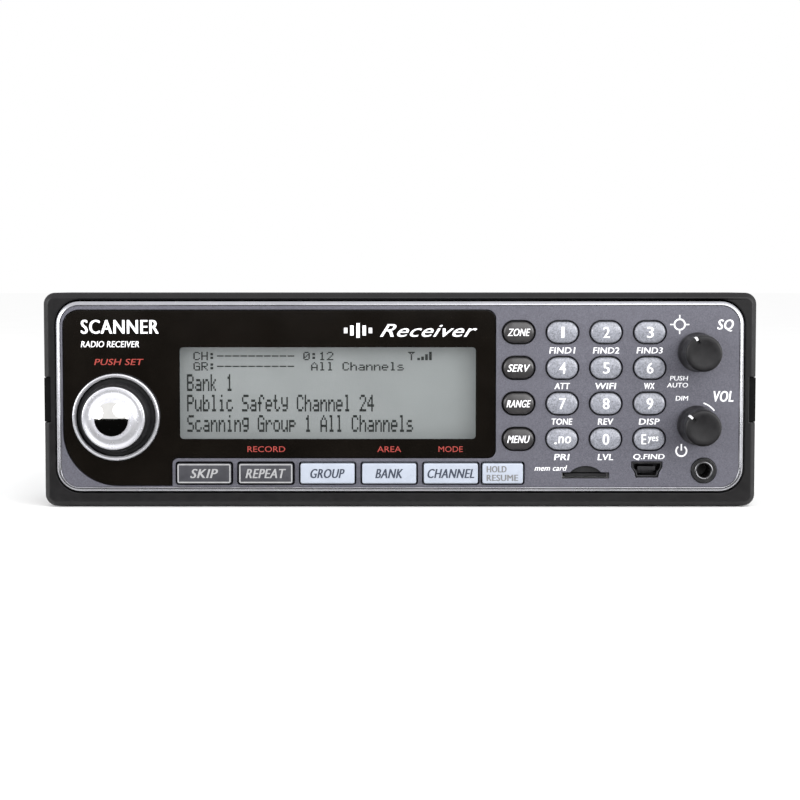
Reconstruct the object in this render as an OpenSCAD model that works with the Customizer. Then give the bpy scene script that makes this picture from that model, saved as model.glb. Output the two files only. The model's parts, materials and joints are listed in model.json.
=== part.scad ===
// Mobile radio scanner in a DIN-size case: fascia with keypad, display, three knobs and sockets,
// steel chassis with a slotted cover, loudspeaker and rear connectors.
// Origin: middle of the footprint, on the surface the feet stand on. The front faces -Y, +Z is up.
// Panel places (x, z) are measured from the case's centre line and from the bezel's lower edge.
// Depths d are measured rearwards from the fascia's front plane.

/* [Case] */
// Width across the bezel
bezel_w = 185; // [150:1:240]
// Height of the bezel
bezel_h = 55.5; // [54:0.5:80]
// Depth from the fascia's front plane to the rear panel
case_d = 150; // [120:1:200]
// Corner radius of the bezel
bezel_r = 3; // [2:0.25:5]
// Depth of the bezel's side walls
bezel_d = 26; // [22:1:35]
// Wall of the bezel round the chassis
bezel_wall = 2.7; // [2:0.1:4]
// Width of the bezel's front chamfer
bezel_chamfer = 1.2; // [0.5:0.1:1.6]
// Sheet thickness of the chassis and the cover
sheet = 1.2; // [0.8:0.1:2]
// Thickness of the rubber feet
foot_t = 3.3; // [3.2:0.1:6]
// Radius of the rubber feet
foot_r = 7; // [4:0.5:10]

/* [Fascia] */
// Width across the bright trim
trim_w = 178; // [140:1:232]
// Lower edge of the trim above the bezel's edge
trim_z0 = 4; // [3:0.25:6]
// Upper edge of the trim above the bezel's edge
trim_z1 = 53.25; // [51.5:0.25:60]
// Width of the trim's bright band
trim_band = 1.1; // [0.6:0.1:1.6]
// Corner radius of the trim
trim_r = 6; // [3:0.5:9]
// Thickness of the fascia plate
fascia_t = 3.2; // [2.8:0.1:4]
// Depth of the recess that the lens sits in
lens_seat = 1.8; // [1.4:0.1:2.2]
// Step from the fascia's front back to the lens
lens_sink = 0.3; // [0.1:0.05:0.6]

/* [Display] */
// Width of the visible display area
lcd_w = 77.5; // [60:0.5:79]
// Height of the visible display area
lcd_h = 24.5; // [18:0.5:26]
// Centre of the display, along x
lcd_x = -18.75; // [-20:0.25:-18]
// Centre of the display above the bezel's edge
lcd_z = 29.45; // [28.5:0.25:30]

/* [Keys] */
// Width of an oval key
key_w = 7.9; // [6:0.1:8.6]
// Height of an oval key
key_h = 5.4; // [4:0.1:6]
// Width of a soft key
soft_w = 14; // [10:0.25:14.2]
// Width of the last, small soft key
soft_small_w = 10.5; // [8:0.25:11]
// Height of the soft keys
soft_h = 5.2; // [4:0.1:5.4]
// Gap round every key
key_gap = 0.45; // [0.25:0.05:0.6]
// How far a key moves when pressed
key_travel = 0.8; // [0.4:0.1:1]
// How far the keys stand out of the fascia
key_proud = 1.2; // [0.6:0.1:2]
// Thickness of the key flanges behind the fascia
flange_t = 1.2; // [0.8:0.1:1.4]

/* [Knobs] */
// Radius of the volume and squelch knobs at the front
knob_r = 4.65; // [4:0.05:5]
// How far the volume and squelch knobs stand out of the fascia
knob_len = 12.6; // [10:0.1:16]
// Radius of the volume and squelch shafts
shaft_r = 2; // [1.5:0.1:2.4]
// Radius of the scroll knob at its front edge
scroll_r = 8.15; // [7:0.05:8.5]
// How far the scroll knob's rim stands out of the fascia
scroll_len = 5.4; // [4:0.1:7]
// How far the scroll knob's centre stands out of the fascia
scroll_boss_len = 10; // [8.5:0.1:12]
// Radius of the scroll knob's raised centre
scroll_boss_r = 4.35; // [3.8:0.05:5]
// Outer radius of the fixed ring round the scroll knob
ring_r = 11.25; // [10.5:0.05:12]
// Radius of the scroll shaft
scroll_shaft_r = 3; // [2:0.1:3.2]
// How far a knob moves when pushed
push_travel = 0.8; // [0.4:0.1:1]
// Running clearance between a shaft and its bore
fit_gap = 0.05; // [0.02:0.01:0.1]

/* [Sockets] */
// Bore radius of the headphone jack
jack_r = 1.75; // [1.5:0.05:1.9]
// Width of the memory card
card_w = 11; // [10:0.5:11.5]
// Length of the memory card
card_l = 15; // [12:0.5:16]
// Thread radius of the side bracket holes
bracket_r = 1.65; // [1.25:0.05:2.5]
// Spacing of the two bracket holes in each side
bracket_pitch = 30; // [20:1:50]
// Outer radius of the antenna connector's barrel
antenna_r = 4.8; // [4.5:0.05:5]

/* [Loudspeaker] */
// Outer radius of the loudspeaker basket
speaker_r = 28; // [20:1:32]
// Depth of the loudspeaker with its magnet
speaker_d = 17; // [14:0.5:18]

/* [Hidden] */
$fn = 64;
EPS = 0.01;
GAP = 0.3;          // gap between pieces that only stand next to each other
LIFT = foot_t - bezel_wall - GAP;   // the feet reach this far below the bezel
STICK = 12.6;       // reach of the antenna connector behind the rear panel
BNC_FLANGE = 1.5;

// Depth stack behind the fascia
flange_d = fascia_t + 0.4;
board_d = 8;
board_t = 1.6;
front_wall_d = 14;
mat_t = 0.9;
skirt_t = 1.2;

// Overall place along y: the longest knob is in front, the antenna connector behind
total_d = knob_len + case_d + STICK;
yf = -total_d / 2 + knob_len;
y_rear = yf + case_d;

// Chassis box, in panel coordinates
trim_gap = 0.5;
fx = trim_w / 2 - trim_band;
fz0 = trim_z0 + trim_band;
fz1 = trim_z1 - trim_band;
fr = trim_r - trim_band;
case_x = bezel_w / 2 - bezel_wall - GAP - 0.5;
case_z0 = bezel_wall + GAP;
case_z1 = bezel_h - bezel_wall - GAP;
pan_x = case_x - sheet - 0.2;
pan_z1 = case_z1 - sheet;

// Display stack
glass_margin = 1.5;
frame_wall = 1.45;

// Lens outline, in panel coordinates
lens_x0 = 0.65 - fx;
lens_x1 = 24.75;
lens_z0 = 5.5;
lens_z1 = fz1 - 1.15;
lens_step_x = -59.2;
lens_step_z = 12.7;
lens_big_r = 14;

// Keypad places
col_x = [30.7, 42.0, 53.3, 64.6];
row_z = [45.3, 36.07, 26.84, 17.61];
soft_z = 8.7;
soft_pitch = 16;
soft_x0 = -50.8;
soft_small_x = 26.65;

// Knob places, [x, z]
scroll_at = [-73.6, 23.3];
squelch_at = [76.8, 40.2];
volume_at = [76.8, 21.3];
squelch_rest = -27;
volume_rest = -48;

// Socket places
jack_at = [78.85, 9.4];
card_at = [48.2, 8.1];
usb_at = [64.1, 9.65];
slot_w = card_w + 1.3;
slot_h = 1.6;
socket_half = slot_w / 2 + 0.8;
card_t = 0.9;

// Bosses and posts inside the fascia, [x, z]
boss_at = [[-83.9, 28], [83.9, 30.75], [-45, 47.95], [10, 47.95]];
post_at = [[-82.5, 46], [-82.5, 10.2], [84, 47], [-18, 47.95]];
boss_r = 2.4;
post_r = 1.9;
collar_r = 3.25;
screw_r = 1;

// Main board, feet and speaker
main_z = case_z0 + sheet + 5;
main_d0 = 22;
main_d1 = case_d - 8;
main_x = 80;
speaker_y = yf + 82;
speaker_x = 30;
foot_x = 70;
foot_d0 = 40;
foot_d1 = case_d - 22;
bracket_z = 22;
bracket_d = 72;
board_screw_at = [main_x - 5, 6];   // from the middle and in from the board's ends
post_boss_r = 3;
clearance = 0.2;     // round a screw in a hole it passes through

// Cover, with its folded side flanges
cover_flange = 13;
cover_screw_z = case_z1 - 7;
cover_screw_d = [44, case_d - 20];
slot_pitch = 5;
slot_open = 2;

// Rear connector places, [x, z]
antenna_at = [62, 27];
dc_at = [30, 22];
serial_at = [-10, 24];
rear_jack_at = [[-48, 22], [-62, 22]];
serial_screw_x = 12.5;
serial_pin_pitch = 2.77;
serial_shell = 5.5;

// Thumb recess over the card slot
thumb_r = 5.6;
thumb_drop = 3.1;
thumb_d = 1;

// Side notches of the bezel
notch_d = 4.5;
notch_h = 11.7;
notch_deep = 1.8;

NUM_KEYS = ["key_1", "key_2", "key_3", "key_4", "key_5", "key_6", "key_7", "key_8", "key_9",
            "key_point", "key_0", "key_enter"];
FUNC_KEYS = ["function_key_1", "function_key_2", "function_key_3", "function_key_4"];
SOFT_KEYS = ["soft_key_1", "soft_key_2", "soft_key_3", "soft_key_4", "soft_key_5", "soft_key_6"];

// ---------- helpers ----------

// Extrudes a panel outline from depth d0 to depth d1.
module slab(d0, d1) {
    translate([0, yf + d1, LIFT]) rotate([90, 0, 0]) linear_extrude(d1 - d0) children();
}

// Puts children at a panel place, their +Z pointing out of the front, zero at depth d.
module on_panel(at, d = 0) {
    translate([at[0], yf + d, LIFT + at[1]]) rotate([90, 0, 0]) children();
}

// Round bar along the depth at a panel place, from depth d0 to depth d1.
module rod(at, d0, d1, r) {
    on_panel(at, d1) cylinder(h = d1 - d0, r = r);
}

// Rectangle from (x0, z0) to (x1, z1) with its own radius at each corner:
// lower left, lower right, upper right, upper left.
module rounded(x0, z0, x1, z1, r) {
    q = is_list(r) ? r : [r, r, r, r];
    polygon([
        [x0 + q[0], z0], [x1 - q[1], z0], [x1, z0 + q[1]], [x1, z1 - q[2]],
        [x1 - q[2], z1], [x0 + q[3], z1], [x0, z1 - q[3]], [x0, z0 + q[0]]]);
    if (q[0] > 0) translate([x0 + q[0], z0 + q[0]]) circle(r = q[0]);
    if (q[1] > 0) translate([x1 - q[1], z0 + q[1]]) circle(r = q[1]);
    if (q[2] > 0) translate([x1 - q[2], z1 - q[2]]) circle(r = q[2]);
    if (q[3] > 0) translate([x0 + q[3], z1 - q[3]]) circle(r = q[3]);
}

// Rounded rectangle of a given size about a panel place.
module plate_at(at, w, h, r = 0) {
    rounded(at[0] - w / 2, at[1] - h / 2, at[0] + w / 2, at[1] + h / 2, r);
}

// Oval with straight sides, grown by g on every side.
module oval(at, g = 0) {
    plate_at(at, key_w + 2 * g, key_h + 2 * g, key_h / 2 + g);
}

// Solid block with rounded edges along the depth and a chamfer round its front.
module chamfered_block(x0, z0, x1, z1, r, d0, d1, cut) {
    slab(d0 + cut, d1) rounded(x0, z0, x1, z1, r);
    for (x = [x0 + r, x1 - r], z = [z0 + r, z1 - r])
        on_panel([x, z], d0 + cut) cylinder(h = cut, r1 = r, r2 = r - cut);
    translate([x0 + r, yf + d0, LIFT]) rotate([90, 0, 90]) linear_extrude(x1 - x0 - 2 * r)
        polygon([[0, z0 + cut], [cut, z0], [cut, z1], [0, z1 - cut]]);
    translate([0, yf + d0, LIFT + z0 + r]) linear_extrude(z1 - z0 - 2 * r)
        polygon([[x0 + cut, 0], [x1 - cut, 0], [x1, cut], [x0, cut]]);
}

// Box given by its corners: x and z in panel coordinates, d as depth.
module panel_box(x0, x1, z0, z1, d0, d1) {
    translate([x0, yf + d0, LIFT + z0]) cube([x1 - x0, d1 - d0, z1 - z0]);
}

// Round shaft section with a flat, for a knob's drive.
module d_section(r) {
    difference() {
        circle(r = r);
        translate([-r, r * 0.8]) square([2 * r, r]);
    }
}

// Lens outline grown by g on every side.
module lens_outline(g = 0) {
    tl = 4.2 + g;
    rounded(lens_x0 - g, lens_z0 - g, lens_step_x + g, lens_z1 + g, [lens_big_r + g, g, 0, tl]);
    rounded(lens_step_x - 10, lens_step_z - g, lens_x1 + g, lens_z1 + g, [0, 2 + g, 2.3 + g, 0]);
    translate([lens_step_x + g, lens_step_z - g - 1.5]) difference() {
        square(1.5);
        translate([1.5, 0]) circle(r = 1.5);
    }
}

module trim_outline(g = 0) {
    rounded(-trim_w / 2 - g, trim_z0 - g, trim_w / 2 + g, trim_z1 + g, trim_r + g);
}

module fascia_outline(g = 0) {
    rounded(-fx - g, fz0 - g, fx + g, fz1 + g, fr + g);
}

function soft_at(i) = [i < 5 ? soft_x0 + i * soft_pitch : soft_small_x, soft_z];
function soft_width(i) = i < 5 ? soft_w : soft_small_w;
function num_at(i) = [col_x[1 + i % 3], row_z[floor(i / 3)]];

// ---------- front ----------

module front_bezel() {
    color("dimgray") difference() {
        chamfered_block(-bezel_w / 2, 0, bezel_w / 2, bezel_h, bezel_r, 1, bezel_d, bezel_chamfer);
        slab(0, front_wall_d + EPS) trim_outline(trim_gap);
        panel_box(-case_x - GAP, case_x + GAP, bezel_wall, bezel_h - bezel_wall,
                  front_wall_d - 1, bezel_d + 1);
        for (s = [-1, 1])
            translate([s * (bezel_w / 2), yf + notch_d / 2, LIFT + bezel_h / 2])
                cube([2 * notch_deep, notch_d, notch_h], center = true);
    }
}

module fascia_trim() {
    lip = 1;
    color("silver") difference() {
        chamfered_block(-trim_w / 2, trim_z0, trim_w / 2, trim_z1, trim_r, -0.2, lens_seat + lip, 0.7);
        slab(-1, fascia_t + 1) fascia_outline(0.03);
    }
}

module fascia() {
    color("slategray") {
        difference() {
            slab(0, fascia_t) fascia_outline();
            slab(-1, lens_seat) lens_outline(0.15);
            slab(-1, fascia_t + 1) plate_at([lcd_x, lcd_z], lcd_w + 1.5, lcd_h + 1.5, 1);
            rod(scroll_at, -1, fascia_t + 1, scroll_shaft_r + 1);
            for (at = [squelch_at, volume_at]) rod(at, -1, fascia_t + 1, shaft_r + 1.7);
            rod(jack_at, -1, fascia_t + 1, collar_r + 0.1);
            for (x = col_x, z = row_z) slab(-1, fascia_t + 1) oval([x, z], key_gap);
            for (i = [0:5])
                slab(-1, fascia_t + 1)
                    plate_at(soft_at(i), soft_width(i) + 2 * key_gap, soft_h + 2 * key_gap, 0.8);
            slab(-1, fascia_t + 1) plate_at(card_at, slot_w, slot_h);
            intersection() {
                rod([card_at[0], card_at[1] - thumb_drop], -1, thumb_d, thumb_r);
                slab(-1, thumb_d) plate_at([card_at[0], card_at[1] + thumb_r], 2 * thumb_r, 2 * thumb_r);
            }
            slab(-1, fascia_t + 1) usb_outline(0.2);
        }
        difference() {
            slab(fascia_t - EPS, front_wall_d - 1) fascia_outline();
            slab(fascia_t - 1, front_wall_d) fascia_outline(-skirt_t);
            panel_box(soft_x0 - soft_w / 2 - 1.5, soft_small_x + soft_small_w / 2 + 1.5,
                      0, 15, fascia_t - 1, front_wall_d);
            rod(jack_at, fascia_t - 1, board_d, collar_r + GAP);
        }
        for (at = boss_at) difference() {
            rod(at, fascia_t - EPS, front_wall_d, boss_r);
            rod(at, fascia_t + 3, front_wall_d + 1, screw_r);
        }
        for (at = post_at) difference() {
            rod(at, fascia_t - EPS, board_d, post_r);
            rod(at, fascia_t + 1, board_d + 1, screw_r);
        }
    }
}

module display_lens() {
    color("black") difference() {
        slab(lens_sink, lens_seat) lens_outline();
        rod(scroll_at, 0, 3, ring_r + 0.15);
    }
}

module lcd_panel() {
    color("darkseagreen") slab(flange_d + 0.4, 6.6)
        plate_at([lcd_x, lcd_z], lcd_w + 2 * glass_margin, lcd_h + 2 * glass_margin);
}

module backlight() {
    color("whitesmoke") slab(6.65, board_d - 0.05)
        plate_at([lcd_x, lcd_z], lcd_w + 2 * glass_margin - 0.5, lcd_h + 2 * glass_margin - 0.5);
}

module lcd_frame() {
    outer = glass_margin + GAP + frame_wall;
    color("gray") difference() {
        slab(fascia_t + GAP, board_d) plate_at([lcd_x, lcd_z], lcd_w + 2 * outer, lcd_h + 2 * outer, 1);
        slab(0, board_d + 1) plate_at([lcd_x, lcd_z], lcd_w + 0.6, lcd_h + 0.6);
        slab(flange_d + 0.35, board_d + 1)
            plate_at([lcd_x, lcd_z], lcd_w + 2 * (glass_margin + GAP), lcd_h + 2 * (glass_margin + GAP));
    }
}

// ---------- knobs ----------

module scroll_ring() {
    well_d = lens_sink + 0.4;
    color("silver") on_panel(scroll_at, lens_seat) difference() {
        rotate_extrude() polygon([
            [scroll_shaft_r + 1, 0], [ring_r, 0], [ring_r, lens_seat + 0.4],
            [ring_r - 0.4, lens_seat + 0.9], [ring_r - 0.8, lens_seat + 0.9],
            [ring_r - 1.1, lens_seat - well_d], [scroll_shaft_r + 1, lens_seat - well_d]]);
    }
}

module scroll_knob() {
    back = 0.6;
    face = scroll_len;
    bore_end = scroll_boss_len - 2;
    color("silver") difference() {
        on_panel(scroll_at) rotate_extrude() polygon([
            [0, back], [scroll_r + 0.95, back], [scroll_r + 0.35, face - 0.7], [scroll_r, face],
            [scroll_r - 0.7, face], [scroll_r - 1.3, face - 0.5], [scroll_boss_r + 1.2, face + 0.2],
            [scroll_boss_r + 0.3, face + 1.4], [scroll_boss_r, scroll_boss_len - 0.6],
            [scroll_boss_r - 0.6, scroll_boss_len], [0, scroll_boss_len]]);
        on_panel(scroll_at, 1) linear_extrude(bore_end + 1) d_section(scroll_shaft_r + fit_gap);
    }
}

module scroll_shaft() {
    color("silver") on_panel(scroll_at, board_d - 1.2) {
        cylinder(h = board_d - 1.2 - lens_sink, r = scroll_shaft_r);
        linear_extrude(board_d - 1.2 + scroll_boss_len - 3.2) d_section(scroll_shaft_r);
    }
}

// Rotary control: a square body on the front board and a round bushing, with a blind bore for the shaft.
module control(at, body, bush_r, r) {
    difference() {
        union() {
            slab(flange_d, board_d) plate_at(at, body, body, 0.6);
            rod(at, lens_sink + 0.45, board_d, bush_r);
        }
        rod(at, -1, board_d - 1, r + fit_gap);
    }
}

module scroll_encoder() {
    color("gray") control(scroll_at, 13, scroll_shaft_r + 0.7, scroll_shaft_r);
}

module squelch_control() {
    color("gray") control(squelch_at, 10, shaft_r + 1.4, shaft_r);
}

module volume_control() {
    color("gray") control(volume_at, 10, shaft_r + 1.4, shaft_r);
}

module knob_shaft(at, turn) {
    color("silver") on_panel(at, board_d - 1.2) rotate([0, 0, -turn]) {
        cylinder(h = board_d - 1.2 - lens_sink, r = shaft_r);
        linear_extrude(board_d - 1.2 + knob_len - 4.2) d_section(shaft_r);
    }
}

module squelch_shaft() {
    knob_shaft(squelch_at, squelch_rest);
}

module volume_shaft() {
    knob_shaft(volume_at, volume_rest);
}

// Small knob with a pointer groove across the front and down the side.
module small_knob(at, turn) {
    back = push_travel + GAP;
    base_r = knob_r + 0.45;
    color("black") on_panel(at) rotate([0, 0, -turn]) difference() {
        rotate_extrude() polygon([
            [0, back], [base_r, back], [base_r, back + 1], [knob_r + 0.1, back + 2.4],
            [knob_r, knob_len - 0.5], [knob_r - 0.5, knob_len], [0, knob_len]]);
        linear_extrude(knob_len - 3) d_section(shaft_r + fit_gap);
        translate([-0.3, knob_r - 1.9, knob_len - 0.4]) cube([0.6, 3, 1]);
        translate([-0.3, knob_r - 0.35, knob_len - 3]) cube([0.6, 1, 4]);
    }
}

module squelch_knob() {
    small_knob(squelch_at, squelch_rest);
}

module volume_knob() {
    small_knob(volume_at, volume_rest);
}

// ---------- keys ----------

module oval_key(at) {
    slab(-key_proud, flange_d + EPS) oval(at);
    slab(flange_d, flange_d + flange_t) oval(at, 0.75);
}

module soft_key(i) {
    slab(-key_proud * 0.7, flange_d + EPS) plate_at(soft_at(i), soft_width(i), soft_h, 0.5);
    slab(flange_d, flange_d + flange_t) plate_at(soft_at(i), soft_width(i), soft_h + 1.3, 0.5);
}

// Silicone sheet on the front board, with a dome under each key.
module key_mat() {
    dome_d = flange_d + flange_t + key_travel + GAP;
    mat_d = board_d - mat_t;
    color("dimgray") {
        slab(mat_d, board_d)
            rounded(col_x[0] - 4.9, row_z[3] - 3.6, col_x[3] + 4.9, row_z[0] + 3.6, 1);
        slab(mat_d, board_d)
            rounded(soft_x0 - 7.5, soft_z - 2, soft_small_x + 5.5, soft_z + 3.3, 1);
        slab(mat_d, board_d)
            rounded(col_x[0] - 4.9, soft_z - 1, soft_small_x + 5.5, row_z[3], 0);
        for (x = col_x, z = row_z)
            on_panel([x, z], mat_d + EPS) cylinder(h = mat_d - dome_d, r1 = 2.4, r2 = 1.7);
        for (i = [0:5])
            on_panel(soft_at(i), mat_d + EPS) cylinder(h = mat_d - dome_d, r1 = 1.9, r2 = 1.5);
    }
}

module front_board() {
    edge = skirt_t + 0.4;
    color("darkgreen") difference() {
        slab(board_d, board_d + board_t) fascia_outline(-edge);
        for (at = boss_at) rod(at, board_d - 1, front_wall_d, boss_r + GAP);
        for (at = post_at) rod(at, board_d - 1, front_wall_d, screw_r + clearance);
        panel_box(card_at[0] - socket_half - GAP, card_at[0] + socket_half + GAP,
                  0, card_at[1] + 1.5 + GAP, board_d - 1, front_wall_d);
    }
}

// ---------- front sockets ----------

module headphone_jack() {
    collar = 0.4;
    jack_body = 4;
    color("black") difference() {
        union() {
            rod(jack_at, -collar, board_d, collar_r);
            panel_box(jack_at[0] - jack_body, jack_at[0] + jack_body, fz0 + skirt_t + 0.4,
                      jack_at[1] + jack_body, flange_d, board_d);
        }
        rod(jack_at, -1, board_d - 0.8, jack_r);
    }
}

// Socket mouth: wide above, narrow below.
module usb_outline(g = 0) {
    w1 = 3.85 + g;
    w2 = 2.75 + g;
    h = 1.9 + g;
    translate(usb_at)
        polygon([[-w2, -h], [w2, -h], [w2 + 0.3, -h / 3], [w1, h / 4], [w1, h], [-w1, h], [-w1, h / 4],
                 [-w2 - 0.3, -h / 3]]);
}

module usb_socket() {
    color("silver") difference() {
        slab(0.3, board_d) usb_outline();
        slab(-1, board_d - 0.6) usb_outline(-0.35);
    }
    color("black") slab(1.2, board_d - 0.5) plate_at([usb_at[0], usb_at[1] + 0.2], 4.6, 1.1);
}

module card_socket() {
    color("silver") difference() {
        panel_box(card_at[0] - socket_half, card_at[0] + socket_half, card_at[1] - 1.5, card_at[1] + 1.5,
                  fascia_t + GAP, board_d + card_l - 4);
        panel_box(card_at[0] - card_w / 2 - 0.1, card_at[0] + card_w / 2 + 0.1,
                  card_at[1] - card_t / 2 - 0.1, card_at[1] + card_t / 2 + 0.1,
                  0, board_d + card_l - 5);
    }
}

module memory_card() {
    color("black") slab(1, 1 + card_l) plate_at(card_at, card_w, card_t);
}

// ---------- case ----------

// Puts children at the four main board screws, at height z.
module at_board_screws(z) {
    for (s = [-1, 1], d = [main_d0 + board_screw_at[1], main_d1 - board_screw_at[1]])
        translate([s * board_screw_at[0], yf + d, LIFT + z]) children();
}

// Bottom pan: floor, two sides, front wall and rear panel of folded steel.
module chassis() {
    d0 = front_wall_d;
    top = pan_z1 - 0.2;
    color("darkgray") difference() {
        union() {
            panel_box(-pan_x, pan_x, case_z0, case_z0 + sheet, d0, case_d);
            for (s = [0, 1]) mirror([s, 0, 0])
                panel_box(pan_x - sheet, pan_x, case_z0, top, d0, case_d);
            panel_box(-pan_x, pan_x, case_z0, top, d0, d0 + sheet);
            panel_box(-pan_x, pan_x, case_z0, top, case_d - sheet, case_d);
            at_board_screws(case_z0) cylinder(h = main_z - case_z0, r = post_boss_r);
            for (s = [0, 1], k = [-1, 1]) mirror([s, 0, 0])
                translate([pan_x - 4, yf + bracket_d + k * bracket_pitch / 2, LIFT + bracket_z])
                    rotate([0, 90, 0]) cylinder(h = 3.5, r = 3.5);
        }
        panel_box(-70, 70, case_z0 + sheet + 1, 40, d0 - 1, d0 + sheet + 1);
        for (at = boss_at) rod(at, d0 - 1, d0 + sheet + 1, screw_r + clearance);
        for (s = [0, 1], k = [-1, 1]) mirror([s, 0, 0])
            translate([pan_x - 5, yf + bracket_d + k * bracket_pitch / 2, LIFT + bracket_z])
                rotate([0, 90, 0]) cylinder(h = 7, r = bracket_r);
        at_board_screws(case_z0 - 1) cylinder(h = main_z - case_z0 + 2, r = screw_r + clearance + 0.05);
        for (s = [0, 1], d = cover_screw_d) mirror([s, 0, 0])
            translate([pan_x - 3, yf + d, LIFT + cover_screw_z])
                rotate([0, 90, 0]) cylinder(h = 5, r = 1.25);
        rear_cutouts();
    }
}

// Cover: top plate with a folded flange down each side, outside the pan.
module top_cover() {
    d0 = front_wall_d;
    color("dimgray") difference() {
        union() {
            panel_box(-case_x, case_x, case_z1 - sheet, case_z1, d0, case_d);
            for (s = [0, 1]) mirror([s, 0, 0])
                panel_box(case_x - sheet, case_x, case_z1 - cover_flange, case_z1, d0, case_d);
        }
        for (s = [0, 1], d = cover_screw_d) mirror([s, 0, 0])
            translate([case_x - 3, yf + d, LIFT + cover_screw_z])
                rotate([0, 90, 0]) cylinder(h = 5, r = 1.7);
        speaker_slots();
    }
}

// Slots over the cone, each as long as the circle of the cone allows.
module speaker_slots() {
    open_r = speaker_r - 6;
    rows = floor(open_r / slot_pitch);
    for (k = [-rows:rows]) {
        across = k * slot_pitch;
        half = sqrt(open_r * open_r - across * across);
        translate([speaker_x, speaker_y + across, LIFT + case_z1 - sheet - 1]) linear_extrude(sheet + 2) {
            square([2 * half, slot_open], center = true);
            for (s = [-1, 1]) translate([s * half, 0]) circle(r = slot_open / 2);
        }
    }
}

module feet() {
    color("black") for (s = [0, 1], d = [foot_d0, foot_d1]) mirror([s, 0, 0])
        translate([foot_x, yf + d, 0]) {
            cylinder(h = 0.6, r1 = foot_r - 0.6, r2 = foot_r);
            translate([0, 0, 0.6]) cylinder(h = foot_t - 0.6, r = foot_r);
        }
}

module screw_head(r, h) {
    difference() {
        union() {
            cylinder(h = h * 0.6, r = r);
            translate([0, 0, h * 0.6]) cylinder(h = h * 0.4, r1 = r, r2 = r * 0.75);
        }
        for (a = [0, 90]) rotate([0, 0, a])
            translate([-r * 0.6, -0.3, h * 0.4]) cube([r * 1.2, 0.6, h]);
    }
}

module case_screws() {
    color("silver") for (s = [0, 1], d = cover_screw_d) mirror([s, 0, 0])
        translate([case_x, yf + d, LIFT + cover_screw_z]) rotate([0, 90, 0]) {
            screw_head(2.6, 0.9);
            translate([0, 0, -5]) cylinder(h = 5 + EPS, r = 1.2);
        }
}

module inner_screws() {
    color("silver") {
        at_board_screws(main_z + board_t) {
            screw_head(2.4, 1.6);
            translate([0, 0, -6]) cylinder(h = 6 + EPS, r = screw_r + clearance);
        }
        for (at = post_at) on_panel(at, board_d + board_t) {
            mirror([0, 0, 1]) screw_head(1.8, 1.2);
            cylinder(h = board_t + 3, r = screw_r - 0.02);
        }
        for (at = boss_at) on_panel(at, front_wall_d + sheet) {
            mirror([0, 0, 1]) screw_head(2, 1.4);
            cylinder(h = sheet + 7, r = screw_r - 0.02);
        }
    }
}

// ---------- inside ----------

module main_board() {
    color("darkgreen") difference() {
        translate([-main_x, yf + main_d0, LIFT + main_z]) cube([2 * main_x, main_d1 - main_d0, board_t]);
        at_board_screws(main_z - 1) cylinder(h = 4, r = screw_r + 2 * clearance);
    }
    color("black") for (i = [0:3])
        panel_box(-60 + i * 16, -50 + i * 16, main_z + board_t, main_z + board_t + 1.4, 100, 110);
}

// Pressed tin cans over the receiver sections.
module can(x, d, w, l, h) {
    translate([x, yf + d, LIFT + main_z + board_t]) difference() {
        cube([w, l, h]);
        translate([0.5, 0.5, -1]) cube([w - 1, l - 1, h + 0.5]);
    }
}

module rf_shields() {
    color("silver") {
        can(-66, 60, 40, 34, 7);
        can(-20, 60, 30, 34, 7);
    }
}

// Flat cable: up from the main board, over a bend and down to the front board's back.
module ribbon_cable() {
    t = 0.4;
    w = 24;
    bend = 3;
    zc = main_z + board_t;
    dc = board_d + board_t;
    color("lightgray") translate([-w / 2, yf, LIFT]) rotate([90, 0, 90]) linear_extrude(w) {
        translate([dc + bend + t, zc]) intersection() {
            difference() {
                circle(r = bend + t);
                circle(r = bend);
            }
            translate([-bend - t, 0]) square([bend + t, bend + t]);
        }
        translate([dc + bend + t, zc + bend]) square([main_d0 + 5 - dc - bend, t]);
        translate([dc, zc - 1]) square([t, 1]);
        translate([main_d0 + 5, zc]) square([t, bend + t]);
    }
}

// Basket: a ring under the cover, a cone-shaped wall and a floor that the magnet is fixed to.
module speaker_frame() {
    top = LIFT + case_z1 - sheet;
    color("gray") translate([speaker_x, speaker_y, top - speaker_d]) rotate_extrude() polygon([
        [9, 6], [14, 6], [speaker_r - 4, speaker_d - 1.6], [speaker_r, speaker_d - 1.6],
        [speaker_r, speaker_d], [speaker_r - 3, speaker_d], [speaker_r - 3.6, speaker_d - 0.8], [speaker_r - 4.6, speaker_d - 0.8],
        [13.4, 7], [9, 7]]);
}

module speaker_cone() {
    top = LIFT + case_z1 - sheet;
    cr = speaker_r - 5.5;
    color("black") translate([speaker_x, speaker_y, top - speaker_d]) rotate_extrude() polygon([
        [0, 9.6], [8, 8.6], [cr - 3, speaker_d - 2.8], [cr - 2.2, speaker_d - 1.6],
        [cr - 1, speaker_d - 1.1],
        [cr + 0.3, speaker_d - 0.95], [cr + 0.9, speaker_d - 0.8], [cr + 1.7, speaker_d - 0.8],
        [cr + 1.7, speaker_d - 0.4], [cr + 0.3, speaker_d - 0.4], [cr - 1, speaker_d - 0.6],
        [cr - 2.6, speaker_d - 1.1], [cr - 3.6, speaker_d - 2.4], [8, 9.4], [5.6, 10.6], [0, 11.4]]);
}

module speaker_magnet() {
    top = LIFT + case_z1 - sheet;
    color("silver") translate([speaker_x, speaker_y, top - speaker_d]) {
        cylinder(h = 1.2, r = 13);
        translate([0, 0, 1.2]) cylinder(h = 3.6, r = 15);
        translate([0, 0, 4.8]) cylinder(h = 1.2, r = 13);
    }
}

// ---------- rear ----------

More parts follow.
